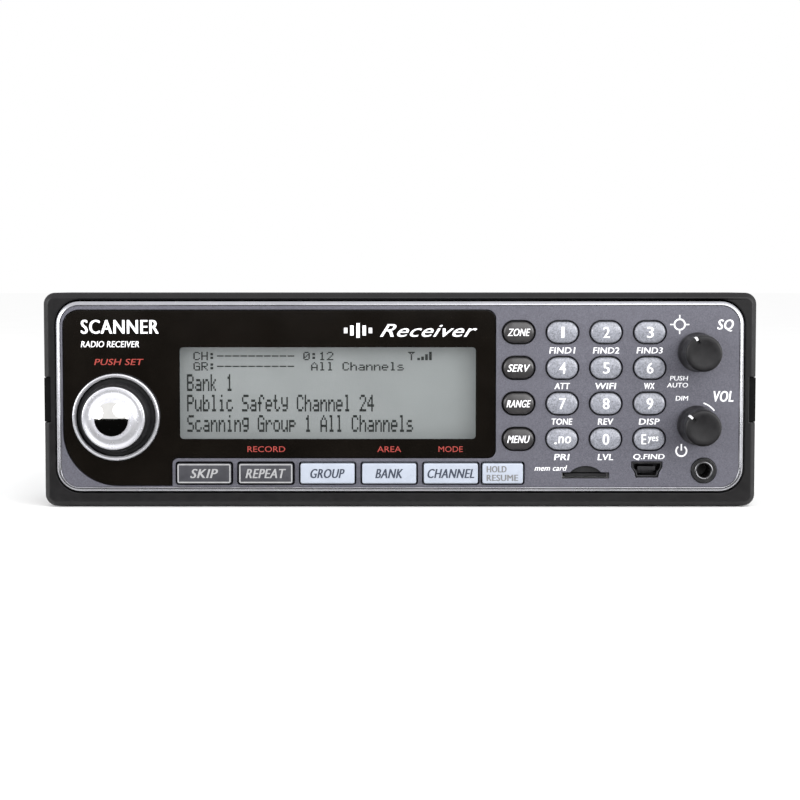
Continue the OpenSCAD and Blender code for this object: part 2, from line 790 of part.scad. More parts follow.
module rear_cutouts() {
    d0 = case_d - sheet - 1;
    d1 = case_d + 1;
    rod(antenna_at, d0, d1, 4.9);
    rod(dc_at, d0, d1, 4.6);
    for (at = rear_jack_at) rod(at, d0, d1, 4);
    slab(d0, d1) serial_outline(0.3);
    for (s = [-1, 1]) rod([serial_at[0] + s * serial_screw_x, serial_at[1]], d0, d1, 1.6);
}

module serial_outline(g = 0) {
    translate(serial_at)
        polygon([[-7.8 - g, -4 - g], [7.8 + g, -4 - g], [9 + g, 4 + g], [-9 - g, 4 + g]]);
}

module antenna_connector() {
    reach = STICK;
    color("silver") translate([antenna_at[0], y_rear, LIFT + antenna_at[1]]) rotate([-90, 0, 0]) {
        difference() {
            union() {
                cylinder(h = BNC_FLANGE, r = 7);
                cylinder(h = reach, r = antenna_r);
                translate([0, 0, -10]) cylinder(h = 11, r = 4.7);
                for (a = [0, 180]) rotate([0, 0, a])
                    translate([antenna_r - 1, 0, reach - 4]) rotate([0, 90, 0]) cylinder(h = 1.9, r = 1);
            }
            translate([0, 0, reach - 8]) cylinder(h = 9, r = antenna_r - 0.7);
        }
        translate([0, 0, reach - 8 - EPS]) difference() {
            cylinder(h = 6.5, r = 2.4);
            translate([0, 0, 2]) cylinder(h = 5, r = 0.7);
        }
    }
}

module dc_jack() {
    color("black") translate([dc_at[0], y_rear, LIFT + dc_at[1]]) rotate([-90, 0, 0]) {
        difference() {
            union() {
                cylinder(h = 1.2, r = 5.6);
                translate([0, 0, -11]) cylinder(h = 11.5, r = 4.5);
            }
            translate([0, 0, -9]) cylinder(h = 11, r = 2.75);
        }
        translate([0, 0, -9 - EPS]) cylinder(h = 8.5, r = 1);
    }
}

module serial_connector() {
    flange = 1;
    row_gap = 1.42;
    sides = [for (s = [-1, 1]) [serial_at[0] + s * serial_screw_x, serial_at[1]]];
    color("silver") difference() {
        union() {
            slab(case_d, case_d + flange) plate_at(serial_at, 30.8, 12.5, 1.5);
            slab(case_d - 9, case_d + serial_shell) serial_outline();
            for (at = sides) rod(at, case_d - 4, case_d + 4.5, 1.5);
            for (at = sides) on_panel(at, case_d + 4.5) cylinder(h = 3.6, r = 2.7, $fn = 6);
        }
        slab(case_d - 1, case_d + serial_shell + 1) serial_outline(-0.6);
        for (at = sides) rod(at, case_d, case_d + 6, 1.2);
    }
    color("gold") for (i = [0:8]) {
        row = i < 5 ? row_gap : -row_gap;
        x = (i < 5 ? i - 2 : i - 6.5) * serial_pin_pitch;
        rod([serial_at[0] + x, serial_at[1] + row], case_d - 1 - EPS, case_d + serial_shell - 1, 0.5);
    }
}

module rear_jacks() {
    color("black") for (at = rear_jack_at) difference() {
        union() {
            rod(at, case_d - 11, case_d + 1.5, 3.9);
            rod(at, case_d, case_d + 1, 4.9);
        }
        rod(at, case_d - 10, case_d + 2, jack_r);
    }
}

front_bezel();
fascia();
fascia_trim();
display_lens();
lcd_panel();
lcd_frame();
backlight();
scroll_ring();
scroll_knob();
scroll_shaft();
scroll_encoder();
volume_knob();
volume_shaft();
volume_control();
squelch_knob();
squelch_shaft();
squelch_control();
headphone_jack();
usb_socket();
card_socket();
memory_card();
key_mat();
front_board();
for (i = [0:11]) color("lightgray") oval_key(num_at(i));
for (i = [0:3]) color("dimgray") oval_key([col_x[0], row_z[i]]);
for (i = [0:5]) color(i < 2 ? "gray" : "aliceblue") soft_key(i);
chassis();
top_cover();
feet();
case_screws();
inner_screws();
main_board();
rf_shields();
ribbon_cable();
speaker_frame();
speaker_cone();
speaker_magnet();
antenna_connector();
dc_jack();
serial_connector();
rear_jacks();
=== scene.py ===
"""Mobile radio scanner: the finished surfaces of a dash radio, built round its fixed CAD frame."""

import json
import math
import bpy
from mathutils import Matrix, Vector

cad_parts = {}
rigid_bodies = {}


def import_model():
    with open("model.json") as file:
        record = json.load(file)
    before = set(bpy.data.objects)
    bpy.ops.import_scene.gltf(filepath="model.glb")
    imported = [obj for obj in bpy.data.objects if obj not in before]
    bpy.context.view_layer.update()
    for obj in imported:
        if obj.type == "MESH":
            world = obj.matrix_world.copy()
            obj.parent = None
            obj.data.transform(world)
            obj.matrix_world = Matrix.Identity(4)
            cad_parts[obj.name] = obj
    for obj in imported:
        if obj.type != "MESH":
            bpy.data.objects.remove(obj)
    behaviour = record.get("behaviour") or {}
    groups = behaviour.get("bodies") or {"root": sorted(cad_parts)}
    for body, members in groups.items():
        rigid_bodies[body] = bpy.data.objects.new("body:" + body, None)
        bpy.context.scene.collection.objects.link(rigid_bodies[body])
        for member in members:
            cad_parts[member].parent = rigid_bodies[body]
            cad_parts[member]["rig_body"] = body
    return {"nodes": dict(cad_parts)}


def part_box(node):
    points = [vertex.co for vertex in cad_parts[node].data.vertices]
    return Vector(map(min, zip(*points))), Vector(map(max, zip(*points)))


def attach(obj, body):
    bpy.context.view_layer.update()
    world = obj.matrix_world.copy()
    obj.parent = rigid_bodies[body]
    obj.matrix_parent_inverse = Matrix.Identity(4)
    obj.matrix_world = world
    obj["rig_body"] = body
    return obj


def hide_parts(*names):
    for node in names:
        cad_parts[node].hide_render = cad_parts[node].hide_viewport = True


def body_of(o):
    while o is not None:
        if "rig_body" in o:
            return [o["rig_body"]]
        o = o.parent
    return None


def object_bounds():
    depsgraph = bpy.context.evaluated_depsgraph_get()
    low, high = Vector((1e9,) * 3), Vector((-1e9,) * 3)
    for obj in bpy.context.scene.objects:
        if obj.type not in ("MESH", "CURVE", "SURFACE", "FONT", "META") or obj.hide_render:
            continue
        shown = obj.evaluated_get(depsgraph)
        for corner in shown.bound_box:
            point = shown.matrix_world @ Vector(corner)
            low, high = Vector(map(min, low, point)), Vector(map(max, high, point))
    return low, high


bl_info = {
    "name": "Mobile Radio Scanner",
    "version": (1, 0, 0),
    "blender": (4, 5, 0),
    "location": "3D View > Sidebar > Scanner",
    "description": "Builds the finished pieces of a dash-size radio scanner",
    "category": "Object",
}

import bmesh
import bpy
from bpy.props import FloatProperty, FloatVectorProperty, IntProperty, PointerProperty
from mathutils import Vector

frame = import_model()

MM = 0.001
CAD_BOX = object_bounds()
FRONT_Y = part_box("fascia")[0].y
BASE_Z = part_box("front_bezel")[0].z
CASE = "case"

NUMBER_KEYS = [
    ("key_1", "1"), ("key_2", "2"), ("key_3", "3"), ("key_4", "4"), ("key_5", "5"), ("key_6", "6"),
    ("key_7", "7"), ("key_8", "8"), ("key_9", "9"), ("key_point", "./no"), ("key_0", "0"),
    ("key_enter", "E/yes"),
]
FUNCTION_KEYS = [
    ("function_key_1", "ZONE"), ("function_key_2", "SERV"), ("function_key_3", "RANGE"),
    ("function_key_4", "MENU"),
]
SOFT_KEYS = [
    ("soft_key_1", "SKIP"), ("soft_key_2", "REPEAT"), ("soft_key_3", "GROUP"),
    ("soft_key_4", "BANK"), ("soft_key_5", "CHANNEL"), ("soft_key_6", "HOLD/RESUME"),
]

# Screws: name, CAD node replaced, finish, head radius and height, shaft radius and length in millimetres,
# tilt of the head from upright in degrees, and the panel places (x, z, d) of the seats.
SCREWS = (
    ("cover_screws_right", "case_screws", "black_zinc", 2.6, 0.9, 1.2, 5.0, (0, 90, 0),
     [(89.0, 45.5, d) for d in (44, 130)]),
    ("cover_screws_left", "", "black_zinc", 2.6, 0.9, 1.2, 5.0, (0, -90, 0),
     [(-89.0, 45.5, d) for d in (44, 130)]),
    ("main_board_screws", "inner_screws", "turned_steel", 2.4, 1.6, 1.2, 6.0, (0, 0, 0),
     [(x, 10.8, d) for x in (-75, 75) for d in (28, 136)]),
    ("front_board_screws", "", "turned_steel", 1.8, 1.2, 0.98, 4.6, (-90, 0, 0),
     [(-82.5, 46, 9.6), (-82.5, 10.2, 9.6), (84, 47, 9.6), (-18, 47.95, 9.6)]),
    ("front_plate_screws", "", "turned_steel", 2.0, 1.4, 0.98, 7.5, (-90, 0, 0),
     [(-83.9, 28, 15.2), (83.9, 30.75, 15.2), (-45, 47.95, 15.2), (10, 47.95, 15.2)]),
)

# Dot-matrix letters: seven rows of five dots, each row one base-32 digit, most significant dot at the left.
DOT_ROWS = {
    "0": "EHJLPHE", "1": "4C4444E", "2": "EH1248V", "4": "26AIV22", ":": "0CC0CC0", "-": "000V000",
    "A": "4AHHVHH", "B": "UHHUHHU", "C": "EHGGGHE", "G": "EHGNHHF", "H": "HHHVHHH", "P": "UHHUGGG",
    "R": "UHHUKIH", "S": "FGGE11U", "a": "00E1FHF", "b": "GGMPHHU", "c": "00EGGHE", "e": "00EHVGE",
    "f": "698S888", "g": "0FHHF1E", "h": "GGMPHHH", "i": "40C444E", "k": "GGIKOKI", "l": "C44444E",
    "n": "00MPHHH", "o": "00EHHHE", "p": "00UHUGG", "r": "00MPGGG", "s": "00EGE1U", "t": "88S8896",
    "u": "00HHHJD", "y": "0HHHF1E",
}
DOT_DIGITS = "0123456789ABCDEFGHIJKLMNOPQRSTUV"


# ---------------------------------------------------------------------------------------------
# Settings
# ---------------------------------------------------------------------------------------------


def length(name, description, millimetres):
    return FloatProperty(name=name, description=description, default=millimetres * MM,
                         unit="LENGTH", precision=5, min=0.0)


def tint(name, description, color):
    return FloatVectorProperty(name=name, description=description, default=color,
                               subtype="COLOR", size=3, min=0.0, max=1.0)


class ScannerSizes(bpy.types.PropertyGroup):
    mould_round: length("Moulding edge", "Rounding of the outer edges of the mouldings", 0.3)
    fine_round: length("Fine edge", "Rounding of small edges, such as key openings", 0.12)
    key_crown: length("Key crown", "How far the middle of an oval key rises above its rim", 0.45)
    key_lip: length("Key lip", "Width of the flange round a key, behind the fascia", 0.75)
    print_lift: length("Print thickness", "Thickness of the printed lettering", 0.03)
    dot_width: length("Dot width", "Width of a display dot", 0.37)
    dot_height: length("Dot height", "Height of a display dot", 0.295)
    dot_step: length("Dot spacing", "Distance between display dots along a line of text", 0.341)


class ScannerColours(bpy.types.PropertyGroup):
    bezel: tint("Bezel", "Moulded surround", (0.0065, 0.006, 0.0065))
    fascia: tint("Fascia", "Metallic paint of the front panel", (0.122, 0.121, 0.147))
    trim: tint("Trim", "Plated line round the fascia", (0.51, 0.51, 0.54))
    lens: tint("Lens", "Black printing behind the display lens", (0.0042, 0.0034, 0.0027))
    display: tint("Display", "Unlit background of the display", (0.220, 0.237, 0.237))
    dots: tint("Dots", "Dark dots of the display", (0.012, 0.016, 0.015))
    number_key: tint("Number key", "Speckled number keys", (0.235, 0.242, 0.275))
    function_key: tint("Function key", "Dark function keys", (0.035, 0.033, 0.034))
    soft_key_dark: tint("Dark soft key", "First two keys below the display", (0.055, 0.055, 0.064))
    soft_key_light: tint("Light soft key", "White keys below the display", (0.385, 0.42, 0.49))
    rubber: tint("Knob rubber", "Soft coating of the knobs", (0.0085, 0.008, 0.009))
    print_white: tint("White print", "Lettering on the fascia and the keys", (0.85, 0.85, 0.87))
    print_red: tint("Red print", "Second function lettering", (0.32, 0.035, 0.025))
    case_paint: tint("Case paint", "Powder coat of the cover", (0.022, 0.022, 0.024))


class ScannerStage(bpy.types.PropertyGroup):
    camera_distance: length("Camera distance", "From the fascia to the camera", 500.0)
    camera_height: length("Camera height", "Camera above the floor", 58.0)
    focal_length: FloatProperty(name="Focal length", description="Lens of the camera in millimetres",
                                default=87.0, min=10.0)
    key_power: FloatProperty(name="Key light", description="Power of the large light in watts",
                             default=5.0, min=0.0, unit="POWER")
    side_power: FloatProperty(name="Side lights", description="Power of each side light in watts",
                              default=4.3, min=0.0, unit="POWER")
    screw_seed: IntProperty(name="Screw seed", description="Seed for how far each screw is turned",
                            default=7)
    parts_seed: IntProperty(name="Parts seed", description="Seed for the places of small board parts",
                            default=11)


# ---------------------------------------------------------------------------------------------
# Places on the panel, in millimetres: x, z above the bezel's lower edge, depth d behind the fascia
# ---------------------------------------------------------------------------------------------


def spot(x, z, d):
    """World place, in metres, of a panel place in millimetres."""
    return Vector((x * MM, FRONT_Y + d * MM, BASE_Z + z * MM))


def panel_box(node):
    """A CAD node's box in panel millimetres: x0, z0, d0, x1, z1, d1."""
    lo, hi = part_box(node)
    low = (lo.x, lo.z - BASE_Z, lo.y - FRONT_Y)
    high = (hi.x, hi.z - BASE_Z, hi.y - FRONT_Y)
    return [v / MM for v in low + high]


def middle(node):
    """Panel place of the middle of a CAD node's box."""
    x0, z0, _, x1, z1, _ = panel_box(node)
    return (x0 + x1) / 2, (z0 + z1) / 2


# ---------------------------------------------------------------------------------------------
# Meshes
# ---------------------------------------------------------------------------------------------


class Shell:
    """Points and faces of a piece while it is being built."""

    def __init__(self):
        self.points = []
        self.faces = []

    def add(self, point):
        self.points.append(point)
        return len(self.points) - 1

    def ring(self, outline, d):
        return [self.add(spot(x, z, d)) for x, z in outline]

    def join(self, rings, loop=False):
        """Walls between rings of equal count, with a cap on each end unless the rings form a loop."""
        pairs = list(zip(rings, rings[1:]))
        if loop:
            pairs.append((rings[-1], rings[0]))
        for a, b in pairs:
            count = max(len(a), len(b))
            for k in range(count):
                n = (k + 1) % count
                if len(a) == 1:
                    self.faces.append((a[0], b[k], b[n]))
                elif len(b) == 1:
                    self.faces.append((a[k], a[n], b[0]))
                else:
                    self.faces.append((a[k], a[n], b[n], b[k]))
        if not loop:
            for end in (rings[0], rings[-1]):
                if len(end) > 2:
                    self.faces.append(tuple(end))

    def lathe(self, x, z, profile, steps=96, loop=False):
        """Turns a profile of (radius, depth) about an axis along the depth."""
        rings = []
        for radius, d in profile:
            if radius == 0:
                rings.append([self.add(spot(x, z, d))])
            else:
                turns = [2 * math.pi * k / steps for k in range(steps)]
                circle = [(x + radius * math.cos(a), z + radius * math.sin(a)) for a in turns]
                rings.append(self.ring(circle, d))
        self.join(rings, loop)

    def block(self, x0, z0, d0, x1, z1, d1):
        """A rectangular bar."""
        corners = [(x0, z0), (x1, z0), (x1, z1), (x0, z1)]
        self.join([self.ring(corners, d1), self.ring(corners, d0)])

    def mesh(self, name):
        data = bpy.data.meshes.new(name)
        data.from_pydata(self.points, [], self.faces)
        work = bmesh.new()
        work.from_mesh(data)
        bmesh.ops.recalc_face_normals(work, faces=work.faces)
        work.to_mesh(data)
        work.free()
        return data


def rounded(x0, z0, x1, z1, radius, steps=8):
    """Outline of a rounded rectangle, anticlockwise as seen from the front."""
    corners = [(x1 - radius, z0 + radius, -90), (x1 - radius, z1 - radius, 0),
               (x0 + radius, z1 - radius, 90), (x0 + radius, z0 + radius, 180)]
    points = []
    for cx, cz, start in corners:
        for k in range(steps + 1):
            a = math.radians(start + 90 * k / steps)
            points.append((cx + radius * math.cos(a), cz + radius * math.sin(a)))
    return points


def arc_profile(cx, cd, radius, start, end, steps=6):
    """Points (radius, depth) of a rounded edge, angles in degrees from the outward direction."""
    points = []
    for k in range(steps + 1):
        a = math.radians(start + (end - start) * k / steps)
        points.append((cx + radius * math.cos(a), cd - radius * math.sin(a)))
    return points


def show(obj):
    bpy.context.scene.collection.objects.link(obj)
    return obj


def evaluated_mesh(obj):
    """The object's mesh with its modifiers applied."""
    bpy.context.view_layer.update()
    graph = bpy.context.evaluated_depsgraph_get()
    return bpy.data.meshes.new_from_object(obj.evaluated_get(graph))


def apply_modifiers(obj):
    """Turns the object's modifiers into plain mesh."""
    data = evaluated_mesh(obj)
    obj.modifiers.clear()
    old = obj.data
    obj.data = data
    bpy.data.meshes.remove(old)


def soften(obj, width, segments=2, angle=32):
    """Rounds the edges that are sharper than the given angle, width in metres."""
    obj.data.shade_smooth()
    bevel = obj.modifiers.new("Edges", "BEVEL")
    bevel.width = width
    bevel.segments = segments
    bevel.limit_method = "ANGLE"
    bevel.angle_limit = math.radians(angle)
    bevel.use_clamp_overlap = False
    weigh = obj.modifiers.new("Flat faces", "WEIGHTED_NORMAL")
    weigh.weight = 100
    weigh.keep_sharp = False
    apply_modifiers(obj)


def smooth_by_angle(obj, angle=32):
    obj.data.shade_smooth()
    obj.data.set_sharp_from_angle(angle=math.radians(angle))


def finish_piece(obj, material, slot, body, replaces=()):
    """Gives a piece its material and its body, and hides the CAD nodes that it stands for."""
    obj.data.materials.clear()
    obj.data.materials.append(material)
    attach(obj, body)
    if replaces:
        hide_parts(*replaces)
    return obj


def build(name, shell, material, slot, body=CASE, replaces=(), edge=0.0, segments=2):
    """A piece from a shell of points and faces, with its edges rounded by edge metres."""
    obj = show(bpy.data.objects.new(name, shell.mesh(name)))
    if edge:
        soften(obj, edge, segments)
    else:
        smooth_by_angle(obj)
    return finish_piece(obj, material, slot, body, replaces)


def body_of_node(node):
    return body_of(frame["nodes"][node])[0]


def merged_copy(name, node):
    """A copy of a CAD node with its loose triangles merged into whole faces."""
    data = frame["nodes"][node].data.copy()
    data.name = name
    work = bmesh.new()
    work.from_mesh(data)
    bmesh.ops.remove_doubles(work, verts=work.verts, dist=2e-6)
    bmesh.ops.dissolve_limit(work, angle_limit=math.radians(0.5), verts=work.verts,
                             edges=work.edges, use_dissolve_boundaries=False)
    work.to_mesh(data)
    work.free()
    return show(bpy.data.objects.new(name, data))


def refined(name, node, material, slot, edge, segments=2, angle=32):
    """A CAD node's shape with moulded or folded edges, in place of the node."""
    obj = merged_copy(name, node)
    soften(obj, edge, segments, angle)
    return finish_piece(obj, material, slot, body_of_node(node), (node,))


def dress(node, material):
    """Gives a CAD node, whose shape stays, its material."""
    slots = frame["nodes"][node].data.materials
    slots.clear()
    slots.append(material)


def carve(obj, tool):
    """Cuts the tool's shape out of the object."""
    cut = obj.modifiers.new("Cut", "BOOLEAN")
    cut.operation = "DIFFERENCE"
    cut.solver = "EXACT"
    cut.object = tool
    apply_modifiers(obj)
    bpy.data.objects.remove(tool)


# ---------------------------------------------------------------------------------------------
# Geometry Nodes
# ---------------------------------------------------------------------------------------------


class Repeater:
    """A node tree that sets a small shape on every point of a mesh."""

    def __init__(self, name, inputs):
        self.tree = bpy.data.node_groups.new(name, "GeometryNodeTree")
        self.sockets = {}
        self.interface("Places", "INPUT", "NodeSocketGeometry")
        for label, kind, default in inputs:
            self.interface(label, "INPUT", kind, default)
        self.interface("Material", "INPUT", "NodeSocketMaterial")
        self.interface("Pieces", "OUTPUT", "NodeSocketGeometry")
        self.start = self.tree.nodes.new("NodeGroupInput")
        self.end = self.tree.nodes.new("NodeGroupOutput")

    def interface(self, label, way, kind, default=None):
        socket = self.tree.interface.new_socket(label, in_out=way, socket_type=kind)
        if default is not None:
            socket.default_value = default
        self.sockets[label] = socket.identifier

    def node(self, kind, values=None, **settings):
        """A node with its settings, and its inputs from values or from other nodes' outputs."""
        node = self.tree.nodes.new(kind)
        for key, value in settings.items():
            setattr(node, key, value)
        for key, value in (values or {}).items():
            if isinstance(value, bpy.types.NodeSocket):
                self.tree.links.new(value, node.inputs[key])
            else:
                node.inputs[key].default_value = value
        return node

    def given(self, label):
        return self.start.outputs[label]

    def close(self, instances):
        """Ends the tree: real geometry with the given material."""
        real = self.node("GeometryNodeRealizeInstances", {"Geometry": instances})
        done = self.node("GeometryNodeSetMaterial",
                         {"Geometry": real.outputs["Geometry"], "Material": self.given("Material")})
        self.tree.links.new(done.outputs["Geometry"], self.end.inputs["Pieces"])

    def run(self, name, base, slot, body, material, replaces=(), **values):
        """Runs the tree on a mesh of places and leaves a plain mesh."""
        obj = show(bpy.data.objects.new(name, base))
        modifier = obj.modifiers.new("Repeat", "NODES")
        modifier.node_group = self.tree
        modifier[self.sockets["Material"]] = material
        for label, value in values.items():
            modifier[self.sockets[label.replace("_", " ").capitalize()]] = value
        apply_modifiers(obj)
        smooth_by_angle(obj)
        return finish_piece(obj, material, slot, body, replaces)


def place_mesh(name, places):
    """A mesh of loose points, one for each place."""
    data = bpy.data.meshes.new(name)
    data.from_pydata([tuple(p) for p in places], [], [])
    return data


def bar_repeater():
    """Rectangular bars, such as display dots and contact strips."""
    tree = Repeater("Bars", [("Width", "NodeSocketFloat", 0.0003), ("Depth", "NodeSocketFloat", 0.0001),
                             ("Height", "NodeSocketFloat", 0.0003)])
    size = tree.node("ShaderNodeCombineXYZ", {"X": tree.given("Width"), "Y": tree.given("Depth"),
                                              "Z": tree.given("Height")})
    bar = tree.node("GeometryNodeMeshCube", {"Size": size.outputs[0]})
    placed = tree.node("GeometryNodeInstanceOnPoints", {"Points": tree.given("Places"),
                                                        "Instance": bar.outputs["Mesh"]})
    tree.close(placed.outputs["Instances"])
    return tree


def post_repeater():
    """Round posts along one direction, such as pins, solder joints and capacitors."""
    tree = Repeater("Posts", [("Radius", "NodeSocketFloat", 0.0005), ("Length", "NodeSocketFloat", 0.001),
                              ("Tilt", "NodeSocketVector", (0.0, 0.0, 0.0)),
                              ("Sides", "NodeSocketInt", 16)])
    post = tree.node("GeometryNodeMeshCylinder", {"Vertices": tree.given("Sides"),
                                                  "Radius": tree.given("Radius"),
                                                  "Depth": tree.given("Length")})
    turn = tree.node("FunctionNodeEulerToRotation", {"Euler": tree.given("Tilt")})
    placed = tree.node("GeometryNodeInstanceOnPoints", {"Points": tree.given("Places"),
                                                        "Instance": post.outputs["Mesh"],
                                                        "Rotation": turn.outputs[0]})
    tree.close(placed.outputs["Instances"])
    return tree


def screw_repeater():
    """Screws along one direction, each turned by a seeded angle about its own axis."""
    tree = Repeater("Screws", [("Shape", "NodeSocketObject", None),
                               ("Tilt", "NodeSocketVector", (0.0, 0.0, 0.0)),
                               ("Seed", "NodeSocketInt", 1)])
    shape = tree.node("GeometryNodeObjectInfo", {"Object": tree.given("Shape")})
    angle = tree.node("FunctionNodeRandomValue", {"Min": (0.0, 0.0, 0.0), "Max": (0.0, 0.0, math.pi),
                                                  "Seed": tree.given("Seed")}, data_type="FLOAT_VECTOR")
    spin = tree.node("FunctionNodeEulerToRotation", {"Euler": angle.outputs[0]})
    tilt = tree.node("FunctionNodeEulerToRotation", {"Euler": tree.given("Tilt")})
    turn = tree.node("FunctionNodeRotateRotation", {"Rotation": tilt.outputs[0],
                                                    "Rotate By": spin.outputs[0]},
                     rotation_space="LOCAL")
    placed = tree.node("GeometryNodeInstanceOnPoints", {"Points": tree.given("Places"),
                                                        "Instance": shape.outputs["Geometry"],
                                                        "Rotation": turn.outputs[0]})
    tree.close(placed.outputs["Instances"])
    return tree


def chip_repeater():
    """Small rectangular parts strewn over a board, kept apart, with seeded sizes."""
    tree = Repeater("Chips", [("Spacing", "NodeSocketFloat", 0.004),
                              ("Smallest", "NodeSocketVector", (0.001,) * 3),
                              ("Largest", "NodeSocketVector", (0.002,) * 3),
                              ("Seed", "NodeSocketInt", 1)])
    strewn = tree.node("GeometryNodeDistributePointsOnFaces",
                       {"Mesh": tree.given("Places"), "Distance Min": tree.given("Spacing"),
                        "Density Max": 200000.0, "Seed": tree.given("Seed")}, distribute_method="POISSON")
    chip = tree.node("GeometryNodeMeshCube", {"Size": (1.0, 1.0, 1.0)})
    size = tree.node("FunctionNodeRandomValue",
                     {"Min": tree.given("Smallest"), "Max": tree.given("Largest"),
                      "Seed": tree.given("Seed")}, data_type="FLOAT_VECTOR")
    placed = tree.node("GeometryNodeInstanceOnPoints", {"Points": strewn.outputs["Points"],
                                                        "Instance": chip.outputs["Mesh"],
                                                        "Scale": size.outputs[0]})
    tree.close(placed.outputs["Instances"])
    return tree


# ---------------------------------------------------------------------------------------------
# Materials
# ---------------------------------------------------------------------------------------------


class Paint:
    """A Principled material being put together from nodes; sizes are in millimetres."""

    def __init__(self, name, color, roughness, metallic=0.0, **sockets):
        self.material = bpy.data.materials.new(name)
        self.material.use_nodes = True
        self.material.diffuse_color = (*color, 1.0)
        self.tree = self.material.node_tree
        self.shader = self.tree.nodes["Principled BSDF"]
        self.color = color
        self.roughness = roughness
        self.shader.inputs["Base Color"].default_value = (*color, 1.0)
        self.shader.inputs["Roughness"].default_value = roughness
        self.shader.inputs["Metallic"].default_value = metallic
        for key, value in sockets.items():
            self.shader.inputs[key.replace("_", " ")].default_value = value
        self.coords = self.node("ShaderNodeTexCoord").outputs["Object"]

    def node(self, kind, values=None, **settings):
        node = self.tree.nodes.new(kind)
        for key, value in settings.items():
            setattr(node, key, value)
        for key, value in (values or {}).items():
            if isinstance(value, bpy.types.NodeSocket):
                self.tree.links.new(value, node.inputs[key])
            else:
                node.inputs[key].default_value = value
        return node

    def to_shader(self, socket, output):
        self.tree.links.new(output, self.shader.inputs[socket])

    def noise(self, size, detail=3.0, stretch=(1.0, 1.0, 1.0)):
        """Noise with features of about the given size; a stretch below 1 lengthens them."""
        mapped = self.node("ShaderNodeMapping", {"Vector": self.coords, "Scale": stretch})
        texture = self.node("ShaderNodeTexNoise", {"Vector": mapped.outputs[0], "Scale": 1.0 / (size * MM),
                                                   "Detail": detail})
        return texture.outputs["Fac"]

    def cells(self, size, output="Distance"):
        texture = self.node("ShaderNodeTexVoronoi", {"Vector": self.coords, "Scale": 1.0 / (size * MM)})
        return texture.outputs[output]

    def spread(self, fac, low, high, start=0.3, end=0.7):
        """Maps a texture's middle range to low .. high."""
        mapped = self.node("ShaderNodeMapRange", {"Value": fac, "From Min": start, "From Max": end,
                                                  "To Min": low, "To Max": high})
        return mapped.outputs[0]

    def blend(self, fac, a, b):
        """Color a where fac is 0, b where it is 1."""
        mix = self.node("ShaderNodeMix", data_type="RGBA")
        for index, value in ((6, a), (7, b)):
            if isinstance(value, bpy.types.NodeSocket):
                self.tree.links.new(value, mix.inputs[index])
            else:
                mix.inputs[index].default_value = (*value, 1.0)
        self.tree.links.new(fac, mix.inputs[0])
        return mix.outputs[2]

    def tone(self, size, amount, detail=3.0):
        """Lighter and darker patches of the base color."""
        dark = [c * (1 - amount) for c in self.color]
        light = [min(1.0, c * (1 + amount)) for c in self.color]
        return self.blend(self.spread(self.noise(size, detail), 0.0, 1.0), dark, light)

    def grain(self, height, depth, strength=1.0):
        """Raised grain of the given depth in millimetres."""
        bump = self.node("ShaderNodeBump", {"Height": height, "Distance": depth * MM, "Strength": strength})
        self.to_shader("Normal", bump.outputs[0])

    def gloss(self, fac, amount):
        self.to_shader("Roughness", self.spread(fac, self.roughness - amount, self.roughness + amount))

    def plain(self, tone_size=8.0, tone=0.1, grain_size=0.3, grain=0.01, gloss=0.06):
        """Tone, grain and uneven gloss in one go."""
        self.to_shader("Base Color", self.tone(tone_size, tone))
        self.grain(self.noise(grain_size), grain)
        self.gloss(self.noise(tone_size * 0.6), gloss)
        return self.material


FINISHES = {}


def finish(name):
    """The material of a given name, made on first use."""
    if name not in FINISHES:
        FINISHES[name] = MAKERS[name](bpy.context.scene.scanner_colours)
    return FINISHES[name]


def bezel_plastic(colours):
    paint = Paint("bezel_plastic", tuple(colours.bezel), 0.45, Specular_IOR_Level=0.35)
    paint.to_shader("Base Color", paint.tone(5.0, 0.18))
    paint.grain(paint.noise(0.18, 4.0), 0.012, 0.7)
    paint.gloss(paint.noise(2.0), 0.08)
    return paint.material


def fascia_paint(colours):
    """Metallic paint: fine bright and dark flakes under a thin clear coat."""
    base = tuple(colours.fascia)
    paint = Paint("fascia_paint", base, 0.42, 0.35, Coat_Weight=0.15, Coat_Roughness=0.3)
    flake = paint.spread(paint.cells(0.22, "Color"), 0.0, 1.0, 0.1, 0.9)
    flaked = paint.blend(flake, [c * 0.78 for c in base], [min(1.0, c * 1.3) for c in base])
    cloud = paint.spread(paint.noise(20.0), 0.0, 0.35)
    paint.to_shader("Base Color", paint.blend(cloud, flaked, [c * 1.15 for c in base]))
    paint.grain(paint.noise(0.35), 0.012, 0.6)
    paint.gloss(paint.noise(0.5), 0.08)
    return paint.material


def trim_plating(colours):
    paint = Paint("trim_plating", tuple(colours.trim), 0.26, 0.9)
    return paint.plain(12.0, 0.05, 0.6, 0.004, 0.06)


def dial_silver(colours):
    """Bright satin silver with very fine turning marks."""
    paint = Paint("dial_silver", (0.78, 0.78, 0.82), 0.24, 0.6, Coat_Weight=0.2, Coat_Roughness=0.1)
    paint.to_shader("Base Color", paint.tone(3.0, 0.04))
    paint.grain(paint.noise(0.25, 2.0), 0.002, 0.6)
    paint.gloss(paint.noise(1.2), 0.05)
    return paint.material


def dome_chrome(colours):
    """Polished plating of the scroll control's middle."""
    paint = Paint("dome_chrome", (0.93, 0.92, 0.88), 0.06, 1.0)
    paint.to_shader("Base Color", paint.tone(2.0, 0.03))
    paint.gloss(paint.noise(1.0), 0.03)
    paint.grain(paint.noise(0.8, 2.0), 0.0008, 0.5)
    return paint.material


